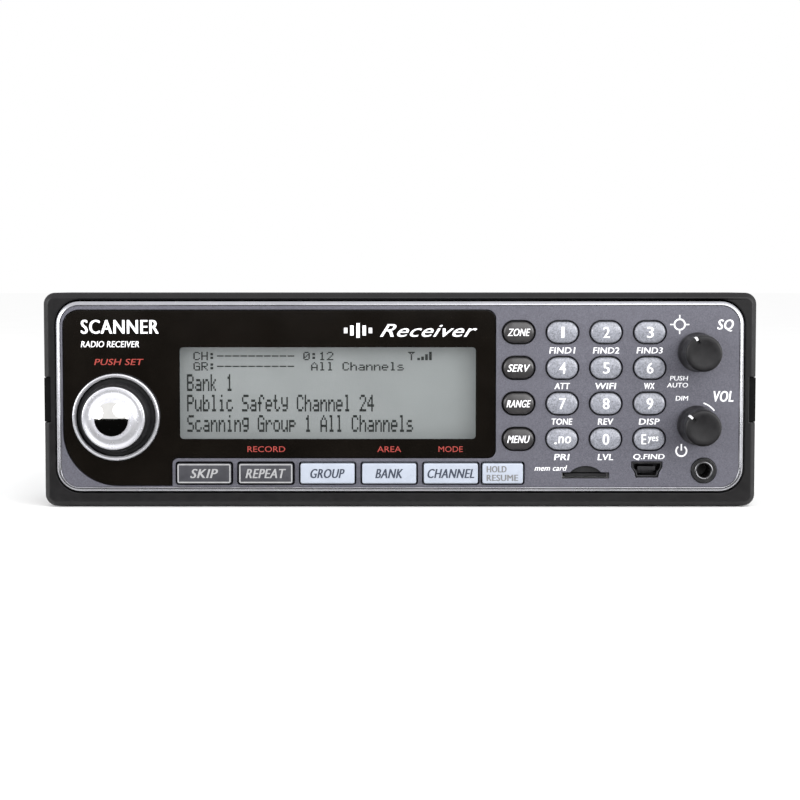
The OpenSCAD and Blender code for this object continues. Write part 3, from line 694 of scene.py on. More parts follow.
def lens_black(colours):
    """Gloss black printing behind clear plastic, left clear over the display."""
    paint = Paint("lens_black", tuple(colours.lens), 0.07, Specular_IOR_Level=0.32)
    x0, z0, _, x1, z1, _ = panel_box("lcd_frame")
    border = 3.55
    low, high = spot(x0 + border, z0 + border, 0), spot(x1 - border, z1 - border, 0)
    half = (high - low) / 2
    round_r = 0.9 * MM
    centred = paint.node("ShaderNodeMapping", {"Vector": paint.coords, "Location": -(low + half)})
    size = paint.node("ShaderNodeVectorMath", {0: centred.outputs[0]}, operation="ABSOLUTE")
    beyond = paint.node("ShaderNodeVectorMath",
                        {0: size.outputs[0], 1: (half.x - round_r, 1.0, half.z - round_r)},
                        operation="SUBTRACT")
    kept = paint.node("ShaderNodeVectorMath", {0: beyond.outputs[0], 1: (0.0, 0.0, 0.0)},
                      operation="MAXIMUM")
    reach = paint.node("ShaderNodeVectorMath", {0: kept.outputs[0]}, operation="LENGTH")
    mask = paint.spread(reach.outputs["Value"], 0.06, 1.0, round_r - 0.06 * MM, round_r + 0.06 * MM)
    paint.to_shader("Alpha", mask)
    smoky = paint.spread(paint.noise(9.0), 0.0, 1.0)
    base = tuple(colours.lens)
    paint.to_shader("Base Color", paint.blend(smoky, base, [c * 1.5 for c in base]))
    paint.gloss(paint.noise(15.0), 0.02)
    return paint.material


def display_glass(colours):
    """Grey-green reflective film of the display, a little lit from behind."""
    base = tuple(colours.display)
    paint = Paint("display_glass", base, 0.35, Emission_Color=(*[c * 1.1 for c in base], 1.0),
                  Emission_Strength=0.25)
    cloud = paint.spread(paint.noise(14.0, 2.0), 0.0, 1.0)
    speck = paint.spread(paint.noise(0.25), 0.0, 0.25)
    body = paint.blend(cloud, [c * 0.94 for c in base], [c * 1.06 for c in base])
    paint.to_shader("Base Color", paint.blend(speck, body, [c * 0.8 for c in base]))
    paint.gloss(paint.noise(1.0), 0.05)
    paint.grain(paint.noise(0.2), 0.002, 0.4)
    return paint.material


def display_dots(colours):
    return Paint("display_dots", tuple(colours.dots), 0.5).plain(1.0, 0.25, 0.1, 0.002, 0.05)


def number_key(colours):
    """Translucent light grey with silver speckles."""
    base = tuple(colours.number_key)
    paint = Paint("number_key", base, 0.32, 0.1, Coat_Weight=0.5, Coat_Roughness=0.15)
    speck = paint.spread(paint.cells(0.3, "Color"), 0.0, 1.0, 0.15, 0.85)
    body = paint.blend(speck, [c * 0.62 for c in base], [min(1.0, c * 1.4) for c in base])
    cloud = paint.spread(paint.noise(1.2), 0.0, 0.5)
    paint.to_shader("Base Color", paint.blend(cloud, body, [c * 1.1 for c in base]))
    paint.gloss(paint.noise(0.6), 0.08)
    paint.grain(paint.noise(0.3), 0.006, 0.6)
    return paint.material


def function_key(colours):
    paint = Paint("function_key", tuple(colours.function_key), 0.36, Coat_Weight=0.3, Coat_Roughness=0.2)
    return paint.plain(2.0, 0.2, 0.18, 0.008, 0.08)


def soft_key_dark(colours):
    paint = Paint("soft_key_dark", tuple(colours.soft_key_dark), 0.35, 0.1)
    return paint.plain(2.5, 0.15, 0.2, 0.006, 0.06)


def soft_key_light(colours):
    """White keys, lit a little from behind."""
    base = tuple(colours.soft_key_light)
    paint = Paint("soft_key_light", base, 0.3, Emission_Color=(*base, 1.0), Emission_Strength=0.05,
                  Coat_Weight=0.4, Coat_Roughness=0.15)
    return paint.plain(4.0, 0.05, 0.25, 0.004, 0.05)


def knob_rubber(colours):
    """Soft-touch coating: a fine dull grain, with uneven gloss in patches."""
    paint = Paint("knob_rubber", tuple(colours.rubber), 0.5, Specular_IOR_Level=0.4)
    paint.to_shader("Base Color", paint.tone(1.5, 0.25))
    paint.grain(paint.noise(0.12, 4.0), 0.012, 0.7)
    paint.gloss(paint.noise(2.5), 0.1)
    return paint.material


def print_ink(name, color, glow=0.0):
    paint = Paint(name, color, 0.5, Emission_Color=(*color, 1.0), Emission_Strength=glow)
    return paint.plain(1.0, 0.08, 0.12, 0.003, 0.06)


def print_white(colours):
    return print_ink("print_white", tuple(colours.print_white), 0.08)


def print_silver(colours):
    return print_ink("print_silver", tuple(c * 0.38 for c in colours.print_white))


def print_grey(colours):
    return print_ink("print_grey", tuple(c * 0.2 for c in colours.print_white))


def print_red(colours):
    return print_ink("print_red", tuple(colours.print_red), 0.05)


def print_dark(colours):
    return print_ink("print_dark", (0.035, 0.045, 0.07))


def case_paint(colours):
    """Powder coat: an even orange-peel grain."""
    paint = Paint("case_paint", tuple(colours.case_paint), 0.48)
    paint.to_shader("Base Color", paint.tone(4.0, 0.2))
    paint.grain(paint.noise(0.7, 3.0), 0.04, 0.5)
    paint.gloss(paint.noise(0.9), 0.1)
    return paint.material


def metal(name, color, roughness, stretch=(1.0, 0.08, 1.0), line=0.25):
    """Rolled or brushed metal with long fine scratches and a few dull patches."""
    paint = Paint(name, color, roughness, 1.0)
    scratch = paint.noise(line, 4.0, stretch)
    dull = paint.spread(paint.noise(9.0), 0.0, 1.0)
    paint.to_shader("Base Color", paint.blend(dull, [c * 0.86 for c in color], color))
    paint.grain(scratch, 0.006, 0.5)
    paint.gloss(scratch, 0.12)
    return paint.material


def zinc_steel(colours):
    return metal("zinc_steel", (0.46, 0.47, 0.48), 0.38)


def tin_plate(colours):
    return metal("tin_plate", (0.62, 0.62, 0.60), 0.3, (0.1, 1.0, 1.0))


def turned_steel(colours):
    return metal("turned_steel", (0.60, 0.60, 0.61), 0.28, (1.0, 1.0, 1.0), 0.1)


def bright_nickel(colours):
    return metal("bright_nickel", (0.70, 0.68, 0.63), 0.2, (1.0, 1.0, 0.2), 0.2)


def black_zinc(colours):
    return metal("black_zinc", (0.10, 0.10, 0.105), 0.36, (1.0, 1.0, 1.0), 0.3)


def bush_metal(colours):
    return metal("bush_metal", (0.27, 0.27, 0.28), 0.34, (1.0, 1.0, 1.0), 0.2)


def socket_plastic(colours):
    return Paint("socket_plastic", (0.012, 0.012, 0.013), 0.38).plain(3.0, 0.3, 0.2, 0.008, 0.08)


def notch_shade_black(colours):
    """Deep black for the blocks in the side notches: painted shade standing in for the shadow inside a deep
    slot.
    """
    paint = Paint("notch_shade_black", (0.002, 0.002, 0.002), 0.7, Specular_IOR_Level=0.15)
    return paint.plain(2.0, 0.3, 0.3, 0.01, 0.1)


def control_body(colours):
    return Paint("control_body", (0.045, 0.045, 0.05), 0.5).plain(3.0, 0.2, 0.25, 0.01, 0.08)


def foot_rubber(colours):
    return Paint("foot_rubber", (0.014, 0.014, 0.014), 0.75).plain(3.0, 0.3, 0.3, 0.03, 0.08)


def mat_silicone(colours):
    paint = Paint("mat_silicone", (0.24, 0.24, 0.245), 0.55, Subsurface_Weight=0.1)
    return paint.plain(5.0, 0.1, 0.3, 0.008, 0.08)


def light_guide(colours):
    paint = Paint("light_guide", (0.82, 0.86, 0.82), 0.15)
    paint.to_shader("Base Color", paint.tone(10.0, 0.05))
    paint.grain(paint.cells(1.1), 0.03, 0.5)
    paint.gloss(paint.noise(2.0), 0.05)
    return paint.material


def board_mask(colours):
    """Green solder mask over copper: raised tracks, lighter where copper lies below."""
    base = (0.012, 0.105, 0.045)
    paint = Paint("board_mask", base, 0.28, Coat_Weight=0.4, Coat_Roughness=0.12)
    wander = paint.node("ShaderNodeTexVoronoi", {"Vector": paint.coords, "Scale": 1.0 / (3.2 * MM)},
                        distance="MANHATTAN", feature="F1")
    track = paint.node("ShaderNodeMath", {0: wander.outputs["Distance"], 1: 3.0}, operation="MULTIPLY")
    wave = paint.node("ShaderNodeMath", {0: track.outputs[0]}, operation="FRACT")
    copper = paint.spread(wave.outputs[0], 0.0, 1.0, 0.42, 0.5)
    light = (0.03, 0.21, 0.08)
    paint.to_shader("Base Color", paint.blend(copper, base, light))
    paint.grain(copper, 0.03, 0.6)
    paint.gloss(paint.noise(3.0), 0.06)
    return paint.material


def part_tan(colours):
    return Paint("part_tan", (0.32, 0.22, 0.13), 0.4).plain(0.8, 0.35, 0.2, 0.006, 0.1)


def flat_cable(colours):
    """Grey film with a darker line for each conductor."""
    paint = Paint("flat_cable", (0.62, 0.64, 0.66), 0.3)
    stripes = paint.node("ShaderNodeTexWave", {"Vector": paint.coords, "Scale": 1.0 / (6.4 * MM)},
                         bands_direction="X")
    striped = paint.blend(stripes.outputs["Fac"], (0.30, 0.31, 0.33), (0.68, 0.70, 0.72))
    paint.to_shader("Base Color", striped)
    paint.grain(stripes.outputs["Fac"], 0.03, 0.6)
    paint.gloss(paint.noise(3.0), 0.06)
    return paint.material


def cone_paper(colours):
    """Pressed paper with fibres."""
    paint = Paint("cone_paper", (0.03, 0.03, 0.031), 0.8)
    fibre = paint.noise(0.6, 5.0, (1.0, 0.25, 1.0))
    mottled = paint.blend(paint.spread(fibre, 0.0, 1.0), (0.02, 0.02, 0.021), (0.055, 0.053, 0.05))
    paint.to_shader("Base Color", mottled)
    paint.grain(fibre, 0.05, 0.7)
    paint.gloss(fibre, 0.08)
    return paint.material


def ferrite(colours):
    return Paint("ferrite", (0.07, 0.068, 0.07), 0.6, 0.3).plain(4.0, 0.3, 0.4, 0.04, 0.1)


MAKERS = {maker.__name__: maker for maker in (
    bezel_plastic, fascia_paint, trim_plating, dial_silver, dome_chrome, lens_black, display_glass,
    display_dots, number_key, function_key, soft_key_dark, soft_key_light, knob_rubber, print_white,
    print_silver, print_grey, print_red, print_dark, case_paint, zinc_steel, tin_plate, turned_steel,
    bright_nickel, black_zinc, bush_metal, socket_plastic, notch_shade_black, control_body, foot_rubber,
    mat_silicone, light_guide, board_mask, part_tan, flat_cable, cone_paper, ferrite)}


# ---------------------------------------------------------------------------------------------
# Lettering
# ---------------------------------------------------------------------------------------------


class Print(Shell):
    """Printed words and marks, a thin layer standing on the surface at a depth."""

    def __init__(self, thickness):
        super().__init__()
        self.thick = thickness / MM

    def words(self, text, x0, z0, x1, z1, d, slant=0.0, weight=0.0, drape=None):
        """Words that fill the box from (x0, z0) to (x1, z1); drape gives the depth at a place.

        A weight in millimetres thickens the strokes: the letters are laid down once more on each side.
        """
        curve = bpy.data.curves.new("words", "FONT")
        curve.body = text
        curve.shear = slant
        curve.space_character = 1.0 + 0.8 * weight
        curve.extrude = 0.5
        curve.resolution_u = 3
        holder = show(bpy.data.objects.new("words", curve))
        data = evaluated_mesh(holder)
        if drape:
            self.slice(data, 12)
        xs = [v.co.x for v in data.vertices]
        ys = [v.co.y for v in data.vertices]
        left, low = min(xs), min(ys)
        across = (x1 - x0 - 2 * weight) / (max(xs) - left)
        up = (z1 - z0) / (max(ys) - low)
        sides = ((-1, 0.9), (1, 0.8), (0, 1.0)) if weight else ((0, 1.0),)
        for side, share in sides:
            first = len(self.points)
            for v in data.vertices:
                x = x0 + weight + side * weight + (v.co.x - left) * across
                z = z0 + (v.co.y - low) * up
                surface = drape(x, z) if drape else d
                self.points.append(spot(x, z, surface - (v.co.z + 0.5) * self.thick * share))
            self.faces += [tuple(first + k for k in f.vertices) for f in data.polygons]
        bpy.data.objects.remove(holder)
        bpy.data.meshes.remove(data)
        bpy.data.curves.remove(curve)

    def slice(self, data, parts):
        """Cuts letters into a grid, so that they can follow a curved surface."""
        work = bmesh.new()
        work.from_mesh(data)
        for axis in (0, 1):
            values = [v.co[axis] for v in work.verts]
            low, high = min(values), max(values)
            normal = Vector((1.0 - axis, float(axis), 0.0))
            for k in range(1, parts):
                place = normal * (low + (high - low) * k / parts)
                bmesh.ops.bisect_plane(work, geom=work.verts[:] + work.edges[:] + work.faces[:],
                                       dist=1e-5, plane_co=place, plane_no=normal)
        work.to_mesh(data)
        work.free()

    def bar(self, x0, z0, x1, z1, d):
        self.block(x0, z0, d - self.thick, x1, z1, d)

    def arc(self, x, z, radius, width, start, end, d, steps=24):
        """Part of a ring, angles in degrees."""
        rings = []
        for k in range(steps + 1):
            a = math.radians(start + (end - start) * k / steps)
            ring = [self.add(spot(x + r * math.cos(a), z + r * math.sin(a), depth))
                    for r, depth in ((radius, d), (radius + width, d), (radius + width, d - self.thick),
                                     (radius, d - self.thick))]
            rings.append(ring)
        self.join(rings)

    def frame(self, x0, z0, x1, z1, radius, width, d):
        """A rounded rectangular line."""
        outer = rounded(x0, z0, x1, z1, radius, 4)
        inner = rounded(x0 + width, z0 + width, x1 - width, z1 - width, max(radius - width, 0.05), 4)
        self.join([self.ring(outer, d), self.ring(outer, d - self.thick), self.ring(inner, d - self.thick),
                   self.ring(inner, d)], loop=True)

    def piece(self, name, ink, slot, body=CASE):
        """The printed layer as one piece on its body."""
        data = self.mesh(name)
        obj = show(bpy.data.objects.new(name, data))
        return finish_piece(obj, finish(ink), slot, body)


# ---------------------------------------------------------------------------------------------
# Operators
# ---------------------------------------------------------------------------------------------


class SCANNER_OT_bezel(bpy.types.Operator):
    """Dark moulded surround with a notch in each side"""
    bl_idname = "scanner.bezel"
    bl_label = "Bezel"

    def execute(self, context):
        sizes = context.scene.scanner_sizes
        refined("bezel_moulding", "front_bezel", finish("bezel_plastic"), "bezel_plastic",
                sizes.mould_round, 3)
        self.paint_notch_shade()
        return {"FINISHED"}

    def paint_notch_shade(self):
        """Black blocks at the back of the two side notches: painted shade for the shadow inside the deep
        slots.
        """
        x0, z0, d0, x1, z1, _ = panel_box("front_bezel")
        half, deep, gap, front, back = 5.75, 1.75, 0.05, d0 + 0.7, d0 + 4.4
        z = (z0 + z1) / 2
        shell = Shell()
        for edge, way in ((x0, 1), (x1, -1)):
            low, high = sorted((edge + gap * way, edge + deep * way))
            shell.block(low, z - half, front, high, z + half, back)
        build("notch_inserts", shell, finish("notch_shade_black"), "socket_plastic", edge=0.1 * MM)


class SCANNER_OT_fascia(bpy.types.Operator):
    """Painted front panel with its openings, and the plated line round it"""
    bl_idname = "scanner.fascia"
    bl_label = "Fascia"

    def execute(self, context):
        sizes = context.scene.scanner_sizes
        refined("fascia_moulding", "fascia", finish("fascia_paint"), "fascia_paint", sizes.fine_round, 2)
        x0, z0, d0, x1, z1, d1 = panel_box("fascia_trim")
        band, corner, rise = 1.07, 6.0, 0.62
        profile = [(0.0, d1), (0.0, d0 + rise), (0.05, d0 + rise - 0.09), (0.4, d0 + 0.26),
                   (0.7, d0 + 0.07), (0.88, d0), (0.98, d0 + 0.02), (band, d0 + 0.12), (band, d1)]
        shell = Shell()
        rings = [shell.ring(rounded(x0 + g, z0 + g, x1 - g, z1 - g, corner - g, 12), d) for g, d in profile]
        shell.join(rings, loop=True)
        build("trim_line", shell, finish("trim_plating"), "trim_plating", replaces=("fascia_trim",))
        return {"FINISHED"}


class SCANNER_OT_display(bpy.types.Operator):
    """Black lens, display with its dots, frame and light guide"""
    bl_idname = "scanner.display"
    bl_label = "Display"

    def execute(self, context):
        sizes = context.scene.scanner_sizes
        refined("lens_window", "display_lens", finish("lens_black"), "lens", sizes.fine_round * 1.5)
        refined("display_film", "lcd_panel", finish("display_glass"), "lcd", sizes.fine_round)
        refined("display_surround", "lcd_frame", finish("tin_plate"), "frame_steel", sizes.fine_round)
        dress("backlight", finish("light_guide"))
        x0, _, d0, _, z1, _ = panel_box("lcd_panel")
        glass = 1.5
        left, top = x0 + glass, z1 - glass
        step, rise = sizes.dot_step / MM, sizes.dot_height / MM + 0.02
        places = []
        for x, z, tall, text in (
                (left + 2.1, top - 7.6, 2, "Bank 1"),
                (left + 2.1, top - 12.95, 2, "Public Safety Channel 24"),
                (left + 2.1, top - 18.3, 2, "Scanning Group 1 All Channels"),
                (left + 3.8, top - 1.75, 1, "CH:---------- 0:12"),
                (left + 3.8, top - 4.45, 1, "GR:----------  All Channels")):
            places += self.line_of_dots(text, x, z, step, rise, tall)
        places += self.signal_bars(left + 59.8, top - 1.75, step, rise)
        dots = bar_repeater()
        dots.run("display_characters", place_mesh("dots", [spot(x, z, d0 - 0.03) for x, z in places]),
                 "lcd", CASE, finish("display_dots"), width=sizes.dot_width, depth=0.06 * MM,
                 height=sizes.dot_height)
        return {"FINISHED"}

    def line_of_dots(self, text, x, z, step, rise, tall):
        """Middles of the dark dots of a line whose top is at z; tall repeats each row."""
        places = []
        for index, letter in enumerate(text):
            if letter == " ":
                continue
            for row, digit in enumerate(DOT_ROWS[letter]):
                bits = DOT_DIGITS.index(digit)
                for column in range(5):
                    if bits >> (4 - column) & 1:
                        for k in range(tall):
                            places.append((x + (index * 6 + column) * step, z - (row * tall + k) * rise))
        return places

    def signal_bars(self, x, z, step, rise):
        """A small aerial and four bars of growing height."""
        aerial = [(c, 0) for c in range(5)] + [(1, 1), (3, 1)] + [(2, r) for r in range(2, 7)]
        places = [(x + c * step, z - r * rise) for c, r in aerial]
        for bar in range(4):
            for row in range(2 + bar * 5 // 3):
                for c in range(2):
                    places.append((x + (7 + bar * 3 + c) * step, z - (6 - row) * rise))
        return places


class SCANNER_OT_scroll_control(bpy.types.Operator):
    """Fixed ring, dark grip, silver face and polished middle of the scroll control"""
    bl_idname = "scanner.scroll_control"
    bl_label = "Scroll Control"

    def execute(self, context):
        x, z = middle("scroll_knob")
        ring_d0, ring_d1 = panel_box("scroll_ring")[2], panel_box("scroll_ring")[5]
        ring_r = (panel_box("scroll_ring")[3] - panel_box("scroll_ring")[0]) / 2
        well, lip = ring_d0 + 1.6, 1.0
        shell = Shell()
        shell.lathe(x, z, [(ring_r - lip, ring_d1), (ring_r, ring_d1), (ring_r, ring_d0 + 0.45)]
                    + arc_profile(ring_r - 0.35, ring_d0 + 0.35, 0.35, 10, 90, 5)
                    + [(ring_r - 0.6, ring_d0 + 0.06), (ring_r - 0.85, ring_d0 + 0.24),
                       (ring_r - lip, ring_d0 + 0.5)], loop=True)
        build("scroll_ring_plated", shell, finish("dial_silver"), "trim_plating", replaces=("scroll_ring",))
        floor = Shell()
        floor.lathe(x, z, [(4.0, ring_d1), (ring_r - lip, ring_d1), (ring_r - lip, ring_d0 + 0.55),
                           (ring_r - lip - 0.3, well), (4.0, well)], loop=True)
        build("scroll_well", floor, finish("socket_plastic"), "socket_plastic")

        kx0, _, tip, kx1, _, back = panel_box("scroll_knob")
        base_r = (kx1 - kx0) / 2
        rim_d, rim_r = -5.4, 8.15
        bore = 3.06
        grip = Shell()
        grip.lathe(x, z, [(bore, back), (base_r, back), (base_r - 0.05, back - 0.5),
                          (rim_r + 0.42, rim_d + 0.75), (rim_r + 0.05, rim_d + 0.28),
                          (rim_r - 0.55, rim_d + 0.5), (bore, rim_d + 1.2)], loop=True)
        build("scroll_grip", grip, finish("knob_rubber"), "knob_rubber", "scroll_push",
              edge=0.12 * MM)
        face = Shell()
        boss_r = 4.35
        dish = [(bore, rim_d + 1.0), (rim_r - 0.35, rim_d + 0.55)]
        dish += arc_profile(rim_r - 0.4, rim_d + 0.35, 0.35, -20, 160, 8)
        dish += [(rim_r - 1.25, rim_d + 0.42), (rim_r - 2.0, rim_d + 0.30), (boss_r + 1.4, rim_d + 0.05),
                 (boss_r + 0.75, rim_d - 0.5), (boss_r + 0.35, rim_d - 1.6), (boss_r + 0.12, rim_d - 2.4),
                 (bore, rim_d - 2.6)]
        face.lathe(x, z, dish, loop=True)
        build("scroll_face", face, finish("dial_silver"), "trim_plating", "scroll_push",
              replaces=("scroll_knob",))
        dome = Shell()
        cap_r = boss_r - 0.02
        crown = [(0, tip)]
        sag = 1.35
        ball_r = (cap_r ** 2 + sag ** 2) / (2 * sag)
        for k in range(1, 17):
            r = cap_r * k / 16
            crown.append((r, tip + ball_r - math.sqrt(ball_r ** 2 - r ** 2)))
        crown += [(cap_r, tip + sag + 0.5), (cap_r - 0.1, rim_d - 2.35), (0, rim_d - 2.35)]
        dome.lathe(x, z, crown)
        build("scroll_dome", dome, finish("dome_chrome"), "trim_plating", "scroll_push")
        dress("scroll_shaft", finish("turned_steel"))
        refined("scroll_encoder_body", "scroll_encoder", finish("control_body"), "control_body", 0.2 * MM)
        return {"FINISHED"}


class SCANNER_OT_small_knobs(bpy.types.Operator):
    """Volume and squelch knobs with their pointers"""
    bl_idname = "scanner.small_knobs"
    bl_label = "Volume and Squelch"

    def execute(self, context):
        for name, turn in (("squelch", -27.0), ("volume", -48.0)):
            self.knob(name, turn)
            dress(name + "_shaft", finish("turned_steel"))
            refined(name + "_control_body", name + "_control", finish("control_body"), "control_body",
                    0.2 * MM)
        return {"FINISHED"}

    def knob(self, name, turn):
        node = name + "_knob"
        x, z = middle(node)
        x0, _, tip, x1, _, back = panel_box(node)
        base_r = (x1 - x0) / 2
        face_r = base_r - 0.45
        profile = [(0, back), (base_r, back), (base_r, back - 1.0)]
        profile += [(face_r + 0.28, back - 1.7), (face_r + 0.1, back - 2.6), (face_r, tip + 0.9)]
        profile += arc_profile(face_r - 0.75, tip + 0.75, 0.75, 10, 80, 7)
        profile += [(face_r - 1.5, tip + 0.03), (face_r - 1.9, tip + 0.12), (0, tip + 0.2)]
        shell = Shell()
        shell.lathe(x, z, profile)
        obj = show(bpy.data.objects.new(node + "_cap", shell.mesh(node + "_cap")))
        a = math.radians(90 - turn)
        along, across = Vector((math.cos(a), math.sin(a))), Vector((-math.sin(a), math.cos(a)))

        def slot_shape(r0, r1, half, d0, d1):
            tool = Shell()
            here = Vector((x, z))
            corners = [here + along * r + across * w
                       for r, w in ((r0, -half), (r1, -half), (r1, half), (r0, half))]
            outline = [(p.x, p.y) for p in corners]
            tool.join([tool.ring(outline, d1), tool.ring(outline, d0)])
            return tool

        groove = slot_shape(face_r - 1.9, face_r + 1.0, 0.4, tip - 1.0, tip + 0.55)
        carve(obj, show(bpy.data.objects.new("groove", groove.mesh("groove"))))
        flank = slot_shape(face_r - 0.3, face_r + 1.0, 0.4, tip - 1.0, tip + 3.2)
        carve(obj, show(bpy.data.objects.new("flank", flank.mesh("flank"))))
        smooth_by_angle(obj, 28)
        body = body_of_node(node)
        finish_piece(obj, finish("knob_rubber"), "knob_rubber", body, (node,))
        tick = slot_shape(face_r - 0.95, face_r - 0.32, 0.3, tip + 0.25, tip + 0.6)
        outer = slot_shape(face_r - 0.36, face_r - 0.08, 0.3, tip + 0.45, tip + 3.1)
        first = len(tick.points)
        tick.points += outer.points
        tick.faces += [tuple(first + k for k in f) for f in outer.faces]
        build(name + "_pointer", tick, finish("print_white"), "knob_rubber", body)


def key_depth(half_w, half_h, rim, crown, reach):
    """Depth of a crowned key's surface at an offset (x, z) from its middle."""
    def depth(x, z):
        straight = half_w - half_h
        away = math.hypot(max(abs(x) - straight, 0.0), z)
        inset = min(max((half_h - away) / reach, 0.0), 1.0)
        return rim - crown * (1 - (1 - inset) ** 2)
    return depth


def oval_key(node, material, slot, sizes):
    """An oval key with a crowned top and a flange behind the fascia; gives the depth of its top."""
    x0, z0, tip, x1, z1, back = panel_box(node)
    lip = sizes.key_lip / MM
    crown = sizes.key_crown / MM
    flange = back - 1.2
    half_w, half_h = (x1 - x0) / 2 - lip, (z1 - z0) / 2 - lip
    x, z = middle(node)
    rim = tip + crown
    reach = half_h - 0.12
    shell = Shell()

    def ring(grow, d):
        r = half_h + grow
        return shell.ring(rounded(x - half_w - grow, z - r, x + half_w + grow, z + r, r - 0.001, 10), d)

    rings = [ring(lip, back), ring(lip, flange), ring(0.0, flange), ring(0.0, rim + 0.32)]
    rings += [ring(-0.09, rim + 0.1), ring(-0.25, rim - crown * 0.18)]
    for t in (0.22, 0.36, 0.52, 0.7, 0.86, 0.97):
        rings.append(ring(-reach * t, rim - crown * (1 - (1 - t) ** 2)))
    shell.join(rings)
    build(node + "_cap", shell, material, slot, body_of_node(node), (node,))
    depth = key_depth(half_w, half_h, rim, crown, reach)
    return lambda px, pz: depth(px - x, pz - z)


class SCANNER_OT_number_keys(bpy.types.Operator):
    """Twelve speckled oval keys with white figures"""
    bl_idname = "scanner.number_keys"
    bl_label = "Number Keys"

    def execute(self, context):
        sizes = context.scene.scanner_sizes
        for node, label in NUMBER_KEYS:
            surface = oval_key(node, finish("number_key"), "key_light", sizes)
            x, z = middle(node)
            mark = Print(sizes.print_lift)
            if "/" in label:
                big, small = label.split("/")
                wide = 0.35 if big == "." else 0.62
                head = -0.75 if big == "." else 1.3
                left = x - 2.1
                right = left + 2 * wide
                mark.words(big, left, z - 1.3, right, z + head, 0.0, 0.0, 0.05, surface)
                mark.words(small, right + 0.35, z - 1.05, x + 2.3, z + 0.75, 0.0, 0.1, 0.05, surface)
            else:
                half = 0.42 if label == "1" else 0.88
                mark.words(label, x - half, z - 1.42, x + half, z + 1.42, 0.0, 0.0, 0.07, surface)
            mark.piece(node + "_figure", "print_white", "key_light", body_of_node(node))
        return {"FINISHED"}


class SCANNER_OT_function_keys(bpy.types.Operator):
    """Four dark oval keys with white words"""
    bl_idname = "scanner.function_keys"
    bl_label = "Function Keys"

    def execute(self, context):
        sizes = context.scene.scanner_sizes
        for node, label in FUNCTION_KEYS:
            surface = oval_key(node, finish("function_key"), "key_dark", sizes)
            x, z = middle(node)
            half = min(0.74 * len(label), 3.15)
            mark = Print(sizes.print_lift)
            mark.words(label, x - half, z - 0.95, x + half, z + 0.95, 0.0, 0.3, 0.05, surface)
            mark.piece(node + "_word", "print_white", "key_dark", body_of_node(node))
        return {"FINISHED"}


class SCANNER_OT_soft_keys(bpy.types.Operator):
    """Six rectangular keys below the display"""
    bl_idname = "scanner.soft_keys"
    bl_label = "Soft Keys"

    def execute(self, context):
        sizes = context.scene.scanner_sizes
        for index, (node, label) in enumerate(SOFT_KEYS):
            dark = index < 2
            self.cap(node, dark)
            x, z = middle(node)
            x0, _, tip, x1, _, _ = panel_box(node)
            mark = Print(sizes.print_lift)
            if dark:
                mark.frame(x0 + 0.12, z - 2.48, x1 - 0.12, z + 2.48, 0.45, 0.34, tip)
            if "/" in label:
                upper, lower = label.split("/")
                mark.words(upper, x - 4.2, z + 0.3, x + 1.0, z + 1.95, tip, 0.0, 0.08)
                mark.words(lower, x - 4.2, z - 1.95, x + 4.0, z - 0.3, tip, 0.0, 0.08)
            else:
                half = 0.82 * len(label) + 0.35
                mark.words(label, x - half, z - 1.2, x + half, z + 1.2, tip, 0.28, 0.09)
            ink = "print_silver" if dark else "print_grey" if index == 5 else "print_dark"
            mark.piece(node + "_word", ink, "key_grey" if dark else "key_white", body_of_node(node))
        return {"FINISHED"}

    def cap(self, node, dark):
        """A rectangular key with rounded edges, taller behind the fascia."""
        x0, z0, tip, x1, z1, back = panel_box(node)
        extra = 0.65
        shell = Shell()

        def ring(g, d, tall=0.0):
            return shell.ring(rounded(x0 + g, z0 + extra + g - tall, x1 - g, z1 - extra - g + tall,
                                      max(0.5 - g, 0.1), 5), d)

        rings = [ring(0, back, extra), ring(0, back - 1.2, extra), ring(0, back - 1.2), ring(0, tip + 0.3),
                 ring(0.06, tip + 0.14), ring(0.2, tip + 0.03), ring(0.4, tip)]
        shell.join(rings)
        name, slot = ("soft_key_dark", "key_grey") if dark else ("soft_key_light", "key_white")
        build(node + "_cap", shell, finish(name), slot, body_of_node(node), (node,))


class SCANNER_OT_front_sockets(bpy.types.Operator):
    """Headphone jack, computer socket, card slot and the card in it"""
    bl_idname = "scanner.front_sockets"
    bl_label = "Front Sockets"

    def execute(self, context):
        fine = context.scene.scanner_sizes.fine_round
        half_body, jack_z = 4.0, 9.4
        jack_x = panel_box("headphone_jack")[3] - half_body
        refined("headphone_jack_body", "headphone_jack", finish("socket_plastic"), "socket_plastic",
                fine * 1.5)
        lip = Shell()
        lip.lathe(jack_x, jack_z, [(1.78, 1.2), (2.35, 1.2), (2.35, -0.44), (2.15, -0.55),
                                   (1.95, -0.5), (1.78, -0.2)], loop=True)
        build("headphone_jack_bush", lip, finish("bush_metal"), "screw_steel", edge=0.04 * MM)
        refined("usb_shell", "usb_socket", finish("black_zinc"), "connector_nickel", 0.05 * MM)
        dress("card_socket", finish("tin_plate"))
        refined("card_body", "memory_card", finish("socket_plastic"), "socket_plastic", 0.1 * MM)
        self.thumb_plate()
        return {"FINISHED"}

    def thumb_plate(self):
        """Dark plate on the floor of the thumb recess over the card slot: painted shade for the recess."""
        cx, cz, reach, low = 48.2, 5.0, 5.5, 3.92
        front, back, steps = 0.6, 0.97, 24
        start = math.degrees(math.asin(low / reach))
        outline = []
        for k in range(steps + 1):
            a = math.radians(start + (180 - 2 * start) * k / steps)
            outline.append((cx + reach * math.cos(a), cz + reach * math.sin(a)))
        shell = Shell()
        shell.join([shell.ring(outline, back), shell.ring(outline, front)])
        build("thumb_plate", shell, finish("socket_plastic"), "socket_plastic")


